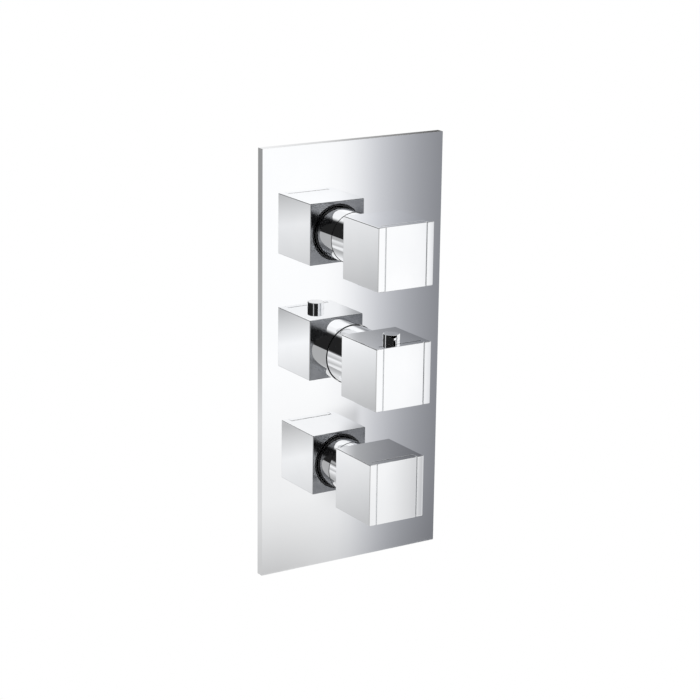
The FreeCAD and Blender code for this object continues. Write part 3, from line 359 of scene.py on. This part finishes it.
def chooseFaces(piece, facing):
    # enters edit mode with the faces selected that look that way
    pick(piece)
    bpy.ops.object.mode_set(mode="EDIT")
    bpy.ops.mesh.select_mode(type="FACE")
    bpy.ops.mesh.select_all(action="DESELECT")
    shape = bmesh.from_edit_mesh(piece.data)
    for face in shape.faces:
        if face.normal.dot(Vector(facing)) > 0.9:
            face.select = True
    shape.select_flush(True)
    bmesh.update_edit_mesh(piece.data)


def leaveEdit():
    bpy.ops.object.mode_set(mode="OBJECT")


def sinkMiddle(piece, facing, rim, move):
    # insets the side that looks that way by the rim, and moves what is inside it
    chooseFaces(piece, facing)
    bpy.ops.mesh.inset(thickness=rim * mm)
    bpy.ops.transform.translate(value=[part * mm for part in move])
    leaveEdit()


def cutWith(piece, *tools):
    for tool in tools:
        pick(piece)
        cut = piece.modifiers.new("cut", "BOOLEAN")
        cut.operation, cut.solver, cut.object = "DIFFERENCE", "EXACT", tool
        bpy.ops.object.modifier_apply(modifier=cut.name)
        bpy.data.objects.remove(tool)


def roundEdges(piece, width, segments=3, angle=30.0):
    pick(piece)
    edge = piece.modifiers.new("edge", "BEVEL")
    edge.width, edge.segments = width * mm, segments
    edge.limit_method, edge.angle_limit = "ANGLE", math.radians(angle)
    edge.use_clamp_overlap = True
    bpy.ops.object.modifier_apply(modifier=edge.name)


def soften(piece, width, segments=3, angle=30.0):
    # rounds the edges and shades the flats flat
    roundEdges(piece, width, segments, angle)
    bpy.ops.object.shade_smooth_by_angle(angle=math.radians(angle))
    even = piece.modifiers.new("even", "WEIGHTED_NORMAL")
    even.keep_sharp = True
    even.weight = 100
    bpy.ops.object.modifier_apply(modifier=even.name)


def copyOf(piece, name, shift):
    twin = piece.copy()
    twin.data = piece.data.copy()
    twin.name = name
    bpy.context.collection.objects.link(twin)
    twin.data.transform(Matrix.Translation(Vector(shift) * mm))
    return twin


def fit(piece, body, finish, slot, *replaced):
    piece.data.name = piece.name
    piece.data.materials.clear()
    piece.data.materials.append(finish)
    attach(piece, body)
    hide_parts(*replaced)


def partFinish(piece, finish, test):
    # another finish on the faces that pass
    piece.data.materials.append(finish)
    for face in piece.data.polygons:
        if test(face.center, face.normal):
            face.material_index = 1


# place in mm, angles in degrees, focal length in pixels of the picture
cameraFit = {"place": (-720.036, -1146.308, 379.958), "azimuth": -32.20, "elevation": 15.626, "roll": 0.751,
             "focal": 2200.074, "sensor": 36.0, "pixels": 700.0, "clip": (0.05, 30.0)}


def makeCamera(p):
    a, e, r = (math.radians(p[k]) for k in ("azimuth", "elevation", "roll"))
    back = Vector((math.sin(a) * math.cos(e), -math.cos(a) * math.cos(e), math.sin(e)))
    right = Vector((0, 0, 1)).cross(back).normalized()
    up = back.cross(right)
    side = right * math.cos(r) + up * math.sin(r)
    top = up * math.cos(r) - right * math.sin(r)
    lens = bpy.data.cameras.new("view")
    lens.sensor_width = p["sensor"]
    lens.lens = p["sensor"] * p["focal"] / p["pixels"]
    lens.clip_start, lens.clip_end = p["clip"]
    camera = bpy.data.objects.new("view", lens)
    turn = Matrix((side, top, back)).transposed().to_4x4()
    camera.matrix_world = Matrix.Translation(Vector(p["place"]) * mm) @ turn
    bpy.context.collection.objects.link(camera)
    bpy.context.scene.camera = camera


makeCamera(cameraFit)
print("stage: camera placed")

# sizes in mm, here and for all pieces; y runs from the room to the wall, which is at 0
plate = {"width": 132.0, "height": 276.0, "thick": 5.5, "face": 2.5, "rim": 9.0, "edge": 0.3,
         "holes": ((16.6, 75.7), (19.45, 0.0), (16.6, -75.7)), "cutFrom": -9.0, "satinFrom": -3.2, "buffedRim": 0.5}


def makeFaceplate(p):
    w, h = p["width"] / 2, p["height"] / 2
    piece = block("faceplate_polished", (-w, -p["thick"], -h), (w, 0.0, h))
    sinkMiddle(piece, (0, 1, 0), p["rim"], (0, p["face"] - p["thick"], 0))  # the pocket in its back
    cutWith(piece, *(drum("hole", radius, p["cutFrom"], past, z) for radius, z in p["holes"]))
    soften(piece, p["edge"])
    fit(piece, "valve", plateChrome, "chrome", "faceplate")
    inside = [(side - p["buffedRim"]) * mm for side in (w, h)]
    partFinish(piece, backSatin, lambda centre, normal: centre.y > p["satinFrom"] * mm  # the rear isn't buffed
               and abs(centre.x) < inside[0] and abs(centre.z) < inside[1])


makeFaceplate(plate)
print("stage: faceplate made")

handle = {"size": 40.0, "depth": 40.5, "edge": 0.55, "innerEdge": 0.12,
          "bore": 18.4, "recess": 8.8, "cavity": 14.8, "web": 8.0, "webWall": 3.5, "well": 4.5, "screwHole": 2.3,
          "cover": 29.2, "coverThick": 5.5, "coverEdge": 0.3, "seam": 0.5, "groove": 0.8, "grooveDeep": 0.8,
          "sideGap": 0.12, "rearRim": 1.2, "rearDeep": 0.4,
          # the last value on the next line is how deep a front's rear is painted black, as painted shade in the seam
          "hollow": 18.6, "hollowSide": 19.5, "backSkin": 0.2, "seamShadeSkin": 0.5}
# y of each handle's back and z of its axis
handleBacks = {"upper": (-25.0, 75.7), "temperature": (-24.7, 0.0), "lower": (-19.5, -75.7)}
button = {"radius": 5.3, "y": -50.7, "top": 24.4, "foot": 16.0, "edge": 0.35, "dishRim": 1.4, "dish": 0.12,
          "hole": 5.4, "holeFrom": 12.0, "holeTo": 23.0}


def makeShell(p, back):
    half, front = p["size"] / 2, back - p["depth"]
    piece = block("upper_handle_block", (-half, front, -half), (half, back, half))
    roundEdges(piece, p["edge"], 4)
    channel = p["cover"] / 2 + p["groove"]
    web = front + p["web"]
    webBack = web + p["webWall"]
    cutWith(piece,
            block("channel", (-channel, front - past, -half - past), (channel, front + p["coverThick"], half + past)),
            drum("recess", p["bore"], back - p["recess"], back + past),
            drum("cavity", p["cavity"], webBack, back + past),
            drum("well", p["well"], front - past, web, sides=48),
            drum("screwHole", p["screwHole"], web - past, webBack + past, sides=32))
    return piece


def makeCover(p, front):
    half, w = p["size"] / 2, p["cover"] / 2
    wide = w + p["groove"] - p["sideGap"]
    piece = block("upper_handle_front", (-wide, front, -half), (wide, front + p["coverThick"] - p["seam"], half))
    for left, right in ((-wide - past, -w), (w, wide + past)):
        cutWith(piece, block("groove", (left, front - past, -half - past),
                             (right, front + p["grooveDeep"], half + past)))
    sinkMiddle(piece, (0, 1, 0), p["rearRim"], (0, -p["rearDeep"], 0))
    soften(piece, p["coverEdge"], 4)
    return piece


def finishShell(name, piece, p):
    back, z = handleBacks[name]
    soften(piece, p["innerEdge"], 2, 40.0)
    fit(piece, name + "_handle", handleChrome, "chrome", name + "_handle_shell")

    def unseen(centre, normal):  # the side toward the plate, and the hollow, are only flashed with chrome
        hollow = (math.hypot(centre.x, centre.z - z * mm) < p["hollow"] * mm and abs(centre.x) < p["hollowSide"] * mm
                  and centre.y > (back - p["depth"] + p["web"]) * mm)
        return hollow or normal.y > 0.7 and centre.y > (back - p["backSkin"]) * mm

    partFinish(piece, backSatin, unseen)


def finishCover(name, piece, p):
    rear = handleBacks[name][0] - p["depth"] + p["coverThick"] - p["seam"]
    fit(piece, name + "_handle", handleChrome, "chrome", name + "_handle_cover")
    partFinish(piece, blackPlastic, lambda centre, normal:  # its rear is painted black, as painted shade that makes the seam behind the front read dark
               normal.y > 0.5 and centre.y > (rear - p["seamShadeSkin"]) * mm)


def makeButton(p):
    piece = upright("safety_button_cap", p["radius"], p["foot"], p["top"], p["y"])
    sinkMiddle(piece, (0, 0, 1), p["dishRim"], (0, 0, -p["dish"]))
    soften(piece, p["edge"], 4)
    fit(piece, "safety_button", handleChrome, "chrome", "safety_button")


# one block and one front are modelled at the plate's middle, and copied
upperBack, upperLevel = handleBacks["upper"]
shells = {"upper": makeShell(handle, upperBack)}
covers = {"upper": makeCover(handle, upperBack - handle["depth"])}
for name in ("temperature", "lower"):
    shift = (0, handleBacks[name][0] - upperBack, handleBacks[name][1])
    shells[name] = copyOf(shells["upper"], name + "_handle_block", shift)
    covers[name] = copyOf(covers["upper"], name + "_handle_front", shift)
for piece in (shells["upper"], covers["upper"]):
    piece.data.transform(Matrix.Translation((0, 0, upperLevel * mm)))
buttonHole = upright("buttonHole", button["hole"], button["holeFrom"], button["holeTo"], button["y"])
cutWith(shells["temperature"], buttonHole)
for name, piece in shells.items():
    finishShell(name, piece, handle)
for name, piece in covers.items():
    finishCover(name, piece, handle)
print("stage: handle blocks and fronts made")
makeButton(button)
print("stage: button made")

# each flow collar's front end and level, and the thicker collar that turns with the temperature handle
collar = {"radius": 16.4, "bore": 13.6, "tail": 15.0, "edge": 0.2, "sides": 160,
          "flow": {"upper": (-29.0, 75.7), "lower": (-23.5, -75.7)},
          "mixRadius": 19.0, "mixSpigot": 18.0, "mixBore": 16.0, "mixFront": -33.1, "mixStep": -25.1, "mixTail": 6.0}


def makeFlowCollar(name, p):
    front, z = p["flow"][name]
    piece = drum(name + "_collar_tube", p["radius"], front, p["tail"], z, p["sides"])
    cutWith(piece, drum("bore", p["bore"], front - past, p["tail"] + past, z))
    soften(piece, p["edge"])
    fit(piece, "valve", collarChrome, "chrome", name + "_collar")


def makeMixCollar(p):
    piece = drum("temperature_collar_tube", p["mixRadius"], p["mixStep"], p["mixTail"], sides=p["sides"])
    # its front steps in to the spigot that the handle holds
    chooseFaces(piece, (0, -1, 0))
    bpy.ops.mesh.inset(thickness=(p["mixRadius"] - p["mixSpigot"]) * mm)
    bpy.ops.mesh.extrude_region_move(TRANSFORM_OT_translate={"value": (0, (p["mixFront"] - p["mixStep"]) * mm, 0)})
    leaveEdit()
    cutWith(piece, drum("bore", p["mixBore"], p["mixFront"] - past, p["mixTail"] + past))
    soften(piece, p["edge"])
    fit(piece, "temperature_handle", collarChrome, "chrome", "temperature_collar")


for name in collar["flow"]:
    makeFlowCollar(name, collar)
makeMixCollar(collar)
print("stage: collars made")

# the springs, remade with welded, smooth coils: what presses them, and where they stand
coils = {"button_spring": {"body": "temperature_handle", "joint": "button_press", "axis": (0, 0, 1),
                           "foot": (0, -50.7, 8.4), "keep": 0.5},
         "hot_check_spring": {"body": "valve", "joint": "hot_check_slide", "axis": (1, 0, 0),
                              "foot": (-30.0, 40.0, 0), "keep": 0.38},
         "cold_check_spring": {"body": "valve", "joint": "cold_check_slide", "axis": (1, 0, 0),
                               "foot": (30.0, 40.0, 0), "keep": 0.38}}


def makeCoil(name, p):
    piece = bpy.data.objects.new(name + "_coil", nodes[name].data.copy())
    bpy.context.collection.objects.link(piece)
    pick(piece)
    bpy.ops.object.mode_set(mode="EDIT")
    bpy.ops.mesh.select_all(action="SELECT")
    bpy.ops.mesh.remove_doubles(threshold=0.000002)
    leaveEdit()
    bpy.ops.object.shade_smooth_by_angle(angle=math.radians(50))
    fit(piece, p["body"], springWire, "steel", name)
    tuple(v * mm for v in p["foot"])
    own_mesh(piece)


for name, p in coils.items():
    makeCoil(name, p)
print("stage: springs made")

# from here on all places are in m
white = (1.0, 1.0, 1.0, 1.0)


def stagePlane(name, corners):
    clearSelection()
    bpy.ops.mesh.primitive_plane_add(size=1.0)
    piece = bpy.context.object
    piece.name = name
    for vertex, corner in zip(piece.data.vertices, corners):
        vertex.co = Vector(corner)
    piece.data.update()
    return piece


def facingPlane(name, p):
    # upright, and parallel to the wall
    return stagePlane(name, [(x, p["y"], z) for z in (p["bottom"], p["top"]) for x in (p["left"], p["right"])])


def stageMaterial(piece, name):
    material = bpy.data.materials.new(name)
    material.use_nodes = True
    material.node_tree.nodes.clear()
    piece.data.materials.append(material)
    wire = Wire(material.node_tree)
    end = material.node_tree.nodes.new("ShaderNodeOutputMaterial")
    return wire, end.inputs["Surface"]


def emission(wire, colour, strength=1.0):
    return wire.node("ShaderNodeEmission", None, {"Color": colour, "Strength": strength})


def addedLight(wire, colour):
    # light on top of what lies behind, or less of it where the light is below nought
    clear = wire.node("ShaderNodeBsdfTransparent")
    return wire.node("ShaderNodeAddShader", None, {0: emission(wire, colour), 1: clear})


def rampOf(wire, value, start, stop, stops):
    part = wire.node("ShaderNodeMapRange", None, {"Value": value, "From Min": start, "From Max": stop})
    first, span = stops[0][0], stops[-1][0] - stops[0][0]
    tones = [((at - first) / span, tone if isinstance(tone, tuple) else (tone,) * 3) for at, tone in stops]
    return wire.node("ShaderNodeValToRGB", {"stops": tones}, {"Fac": part})


def axesOf(wire):
    return wire.node("ShaderNodeTexCoord", out="Object").axes()


def onlyInReflections(piece, named, state="EXCLUDE"):
    # seen by polished metal alone, and not by the named pieces, or by them alone
    others = bpy.data.collections.new(piece.name + "Receivers")
    for name in named:
        others.objects.link(bpy.data.objects[name])
    for entry in others.collection_objects:
        entry.light_linking.link_state = state
    piece.light_linking.receiver_collection = others
    piece.visible_camera = piece.visible_diffuse = piece.visible_shadow = False
    piece.visible_transmission = piece.visible_volume_scatter = False


# the tiled wall's plane: plain white from the room, clear from behind
wallPlane = {"y": 0.0002, "left": -2, "right": 2, "bottom": -2, "top": 2}
floorPlane = {"level": -1.1, "reach": 14, "pale": (0.9, 0.9, 0.9, 1), "fades": (1.2, 3.2)}


def makeWall(p):
    piece = facingPlane("wall", p)
    wire, surface = stageMaterial(piece, "wallWhite")
    behind = wire.node("ShaderNodeNewGeometry", out="Backfacing")
    clear = wire.node("ShaderNodeBsdfTransparent")
    wire.feed(surface, wire.node("ShaderNodeMixShader", None, {0: behind, 1: emission(wire, white), 2: clear}))
    piece.visible_diffuse = piece.visible_glossy = piece.visible_shadow = piece.visible_transmission = False


def makeFloor(p):
    reach = (-p["reach"], p["reach"])
    piece = stagePlane("floor", [(x, y, p["level"]) for y in reach for x in reach])
    wire, surface = stageMaterial(piece, "floorPale")
    pale = wire.node("ShaderNodeBsdfDiffuse", None, {"Color": p["pale"]})
    coords = wire.node("ShaderNodeTexCoord", out="Object")
    away = wire.node("ShaderNodeVectorMath", {"operation": "LENGTH"}, {0: coords}, out="Value")
    wire.feed(surface, wire.node("ShaderNodeMixShader", None,
                                 {0: away.spread(*p["fades"]), 1: pale, 2: emission(wire, white)}))
    piece.visible_glossy = False


makeWall(wallPlane)
makeFloor(floorPlane)

# a graded reflector to the right of the camera, which the plate and the handles' fronts mirror;
# its places are the points of the plate's front that show them
card = {"y": -0.37, "scale": 1.3195, "shift": 0.230, "drop": 0.1214, "gain": 1.1, "tint": (-0.05, -0.02, 0.09),
        "margins": (0.12, 0.05),
        "across": {"from": -0.07, "to": 0.07, "stops": 15, "bright": 0.99, "dark": 0.0967, "middle": -0.00434,
                   "width": 0.00697, "power": 0.1685},
        "up": ((-0.138, 0.56), (-0.13, 0.62), (-0.11, 0.75), (-0.09, 0.85), (-0.05, 0.92), (-0.02, 0.97), (0.0, 1.0),
               (0.3, 1.0)),
        "leftSpan": (-0.06, 0.015), "leftLift": 0.4,
        # what the tops of the handles see is darker on the right
        "topsFrom": (0.139, 0.156), "topsTo": (0.19, 0.238), "topsSide": (-0.012, 0.006), "topsShade": 0.46,
        "highest": (0.2, 0.238), "highestLift": 0.09,
        # what the lower front sees is a little darker
        "lowFrom": (-0.105, -0.085), "lowTo": (-0.042, -0.03), "lowLeft": (-0.032, 0.002), "lowRight": (0.002, 0.009),
        "lowShade": 0.24}
# a stretch in front of it that is black in the temperature handle's top, round the button's foot
cardPatch = {"ahead": 0.001, "right": 0.15, "bottom": 0.09, "top": 0.162}


def fallOff(p):
    # a gradient's stops, from bright on the left to dark on the right
    step, depth = (p["to"] - p["from"]) / (p["stops"] - 1), p["bright"] - p["dark"]
    spots = [p["from"] + step * count for count in range(p["stops"])]
    return [(at, p["dark"] + depth / (1 + math.exp((at - p["middle"]) / p["width"])) ** p["power"]) for at in spots]


def makeCard(p, patch):
    def place(spots):
        return [spot * p["scale"] + p["shift"] for spot in spots]

    def level(spots):
        return [spot * p["scale"] - p["drop"] for spot in spots]

    falling = fallOff(p["across"])
    low, high = place((falling[0][0], falling[-1][0]))
    bottom, top = level((p["up"][0][0], p["up"][-1][0]))
    left, right = low - p["margins"][0], high + p["margins"][1]
    piece = facingPlane("gradedCard", {"y": p["y"], "left": left, "right": right, "bottom": bottom, "top": top})
    wire, surface = stageMaterial(piece, "gradedCard")
    x, _, z = axesOf(wire)
    tinted = [(at, tuple(tone * (1 + part * (1 - tone)) for part in p["tint"])) for at, tone in falling]
    across = rampOf(wire, x, low, high, tinted)
    up = rampOf(wire, z, bottom, top, p["up"])
    fade = up + (1 - up) * x.spread(*place(p["leftSpan"]), 0.0, p["leftLift"])
    tops = z.spread(*level(p["topsFrom"])) * z.spread(*level(p["topsTo"]), 1.0, 0.0)
    highest = z.spread(*level(p["highest"]), 0.0, p["highestLift"])
    upper = 1 - tops * x.spread(*place(p["topsSide"]), 0.0, p["topsShade"]) + highest
    lowBand = z.spread(*level(p["lowFrom"])) * z.spread(*level(p["lowTo"]), 1.0, 0.0)
    lowSide = x.spread(*place(p["lowLeft"]), 0.0, p["lowShade"]) * x.spread(*place(p["lowRight"]), 1.0, 0.0)
    lower = 1 - lowBand * lowSide
    light = wire.node("ShaderNodeVectorMath", {"operation": "SCALE"}, {0: across, "Scale": fade * upper * lower})
    wire.feed(surface, emission(wire, light, p["gain"]))
    onlyInReflections(piece, ["safety_button_cap"])
    dark = facingPlane("cardPatch", {**patch, "y": p["y"] + patch["ahead"], "left": left})
    dark.data.materials.append(piece.data.materials[0])
    onlyInReflections(dark, ["safety_button_cap", "temperature_handle_block"])


makeCard(card, cardPatch)

# a wide grey reflector far off on the left, up to the horizon, that fades to the right
leftCard = {"y": -3.0, "left": -9.0, "right": 0.3, "bottom": -6.0, "top": 0.0, "tone": 0.5, "fades": (-1.2, 0.3),
            "rightTone": 0.9, "sideEnd": 0.4}
# what the mirrored button's top sees
buttonGlow = {"y": -0.368, "left": 0.17, "right": 0.27, "bottom": 0.1, "top": 0.15}
# three graded strips that the handles' left sides mirror; the tones follow their height
strips = {"y": -0.37, "left": -0.34, "right": -0.16, "gain": 1.22,
          "tones": ((-0.33, 0.41), (-0.273, 0.54), (-0.204, 0.86), (-0.174, 0.48), (-0.104, 0.93), (-0.074, 0.48),
                    (-0.004, 0.81), (0.03, 0.41))}
# close behind the faceplate's left and top sides, what these narrow sides see; the tones follow the side
edgeCards = {"left": {"axis": 2, "base": 0.15,
                      "y": 0.02, "left": -0.1, "right": -0.0663, "bottom": -0.16, "top": 0.15,
                      "tones": ((-0.142, 0.42), (-0.11, 0.53), (-0.044, 0.5), (0.01, 0.26), (0.087, 0.06),
                                (0.134, 0.01))},
             "top": {"axis": 0, "base": 0.65,
                     "y": 0.02, "left": -0.07, "right": 0.1, "bottom": 0.1383, "top": 0.165,
                     "tones": ((-0.055, 0.84), (-0.008, 0.64), (0.013, 0.38), (0.05, 0.17), (0.08, 0.01))}}


def makeLeftCard(p):
    piece = facingPlane("leftCard", p)
    wire, surface = stageMaterial(piece, "leftCard")
    grey = axesOf(wire)[0].spread(*p["fades"], p["tone"], p["rightTone"])
    wire.feed(surface, emission(wire, grey))
    onlyInReflections(piece, ["safety_button_cap"])


def makeSideCard(p):
    # closes the same grey round to the side, but not for the button, which mirrors it black
    piece = stagePlane("sideCard", [(p["y"], y, z) for z in (p["bottom"], p["top"]) for y in (p["sideEnd"], p["y"])])
    wire, surface = stageMaterial(piece, "sideCard")
    wire.feed(surface, emission(wire, (p["tone"],) * 3 + (1.0,)))
    onlyInReflections(piece, ["safety_button_cap"])


def makeButtonGlow(p):
    piece = facingPlane("buttonGlow", p)
    wire, surface = stageMaterial(piece, "buttonGlow")
    wire.feed(surface, addedLight(wire, white))
    onlyInReflections(piece, ["safety_button_cap"], "INCLUDE")


def makeStrips(p, behind):
    bottom, top = p["tones"][0][0], p["tones"][-1][0]
    piece = facingPlane("stripCard", {**p, "bottom": bottom, "top": top})
    wire, surface = stageMaterial(piece, "stripCard")
    light = rampOf(wire, axesOf(wire)[2], bottom, top, p["tones"]) * p["gain"] - behind
    wire.feed(surface, addedLight(wire, light))
    onlyInReflections(piece, ["safety_button_cap", "upper_collar_tube", "lower_collar_tube",
                              "temperature_collar_tube"])


def makeEdgeCard(name, p):
    piece = facingPlane(name + "EdgeCard", p)
    wire, surface = stageMaterial(piece, name + "EdgeCard")
    tones = p["tones"]
    light = rampOf(wire, axesOf(wire)[p["axis"]], tones[0][0], tones[-1][0], tones) - p["base"]
    wire.feed(surface, addedLight(wire, light))
    onlyInReflections(piece, ["faceplate_polished"], "INCLUDE")


makeLeftCard(leftCard)
makeSideCard(leftCard)
makeButtonGlow(buttonGlow)
makeStrips(strips, leftCard["tone"])
for name, p in edgeCards.items():
    makeEdgeCard(name, p)
print("stage: reflectors placed")

# the room: white behind, and graded in what polished metal mirrors;
# the spans are parts of the direction of sight
room = {"horizon": (-0.01, 0.01), "frontSpan": (0.3, 0.5), "fill": 0.75,
        "belowSpan": (-0.35, 0.1), "below": (0.5, 0.95),
        "dark": 0.02, "bright": 1.1, "lowOpening": (0.05, 0.2), "highOpening": (-0.26, -0.08),
        "highFrom": (0.38, 0.46),
        "overheadSpan": (0.62, 0.78), "overhead": 0.05,
        "rearSpan": (-0.5, 0.6), "rear": (0.35, 0.95)}


def makeRoom(p):
    world = bpy.data.worlds.new("room")
    bpy.context.scene.world = world
    world.use_nodes = True
    world.node_tree.nodes.clear()
    wire = Wire(world.node_tree)
    end = world.node_tree.nodes.new("ShaderNodeOutputWorld")
    x, y, z = wire.node("ShaderNodeTexCoord", out="Generated").axes()
    above = z.spread(*p["horizon"])
    front = y.spread(*p["frontSpan"], 1.0, 0.0)
    high = z.spread(*p["highFrom"])
    opening = x.spread(*p["highOpening"]) * high + x.spread(*p["lowOpening"]) * (1 - high)
    upper = (opening * (p["bright"] - p["dark"]) + p["dark"]) * z.spread(*p["overheadSpan"], 1.0, p["overhead"])
    forward = x.spread(*p["belowSpan"], *p["below"]) * (1 - above) + upper * above
    tone = forward * front + z.spread(*p["rearSpan"], *p["rear"]) * (1 - front)
    mirrored = wire.node("ShaderNodeBackground", None, {"Color": tone})
    fill = wire.node("ShaderNodeBackground", None, {"Color": white, "Strength": p["fill"]})
    backdrop = wire.node("ShaderNodeBackground", None, {"Color": white, "Strength": 1.0})
    seen = wire.node("ShaderNodeLightPath", out="Is Camera Ray")
    glossy = Wire(wire.tree, seen.socket.node.outputs["Is Glossy Ray"])
    unseen = wire.node("ShaderNodeMixShader", None, {0: glossy, 1: fill, 2: mirrored})
    wire.feed(end.inputs["Surface"], wire.node("ShaderNodeMixShader", None, {0: seen, 1: unseen, 2: backdrop}))


lamps = {"keyLamp": {"place": (-1.2, -1.4, 1.5), "size": 1.2, "power": 26.0},
         "rearLamp": {"place": (1.0, 1.6, 1.2), "size": 1.2, "power": 22.0}}


def softLamp(name, p):
    lamp = bpy.data.lights.new(name, "AREA")
    lamp.shape, lamp.size, lamp.energy = "SQUARE", p["size"], p["power"]
    holder = bpy.data.objects.new(name, lamp)
    holder.location = p["place"]
    holder.rotation_euler = (-Vector(p["place"])).to_track_quat("-Z", "Y").to_euler()  # aimed at the plate's middle
    holder.visible_glossy = False
    bpy.context.collection.objects.link(holder)


makeRoom(room)
for name, p in lamps.items():
    softLamp(name, p)
bpy.context.scene.view_settings.view_transform = "Standard"
print("stage: room lit")
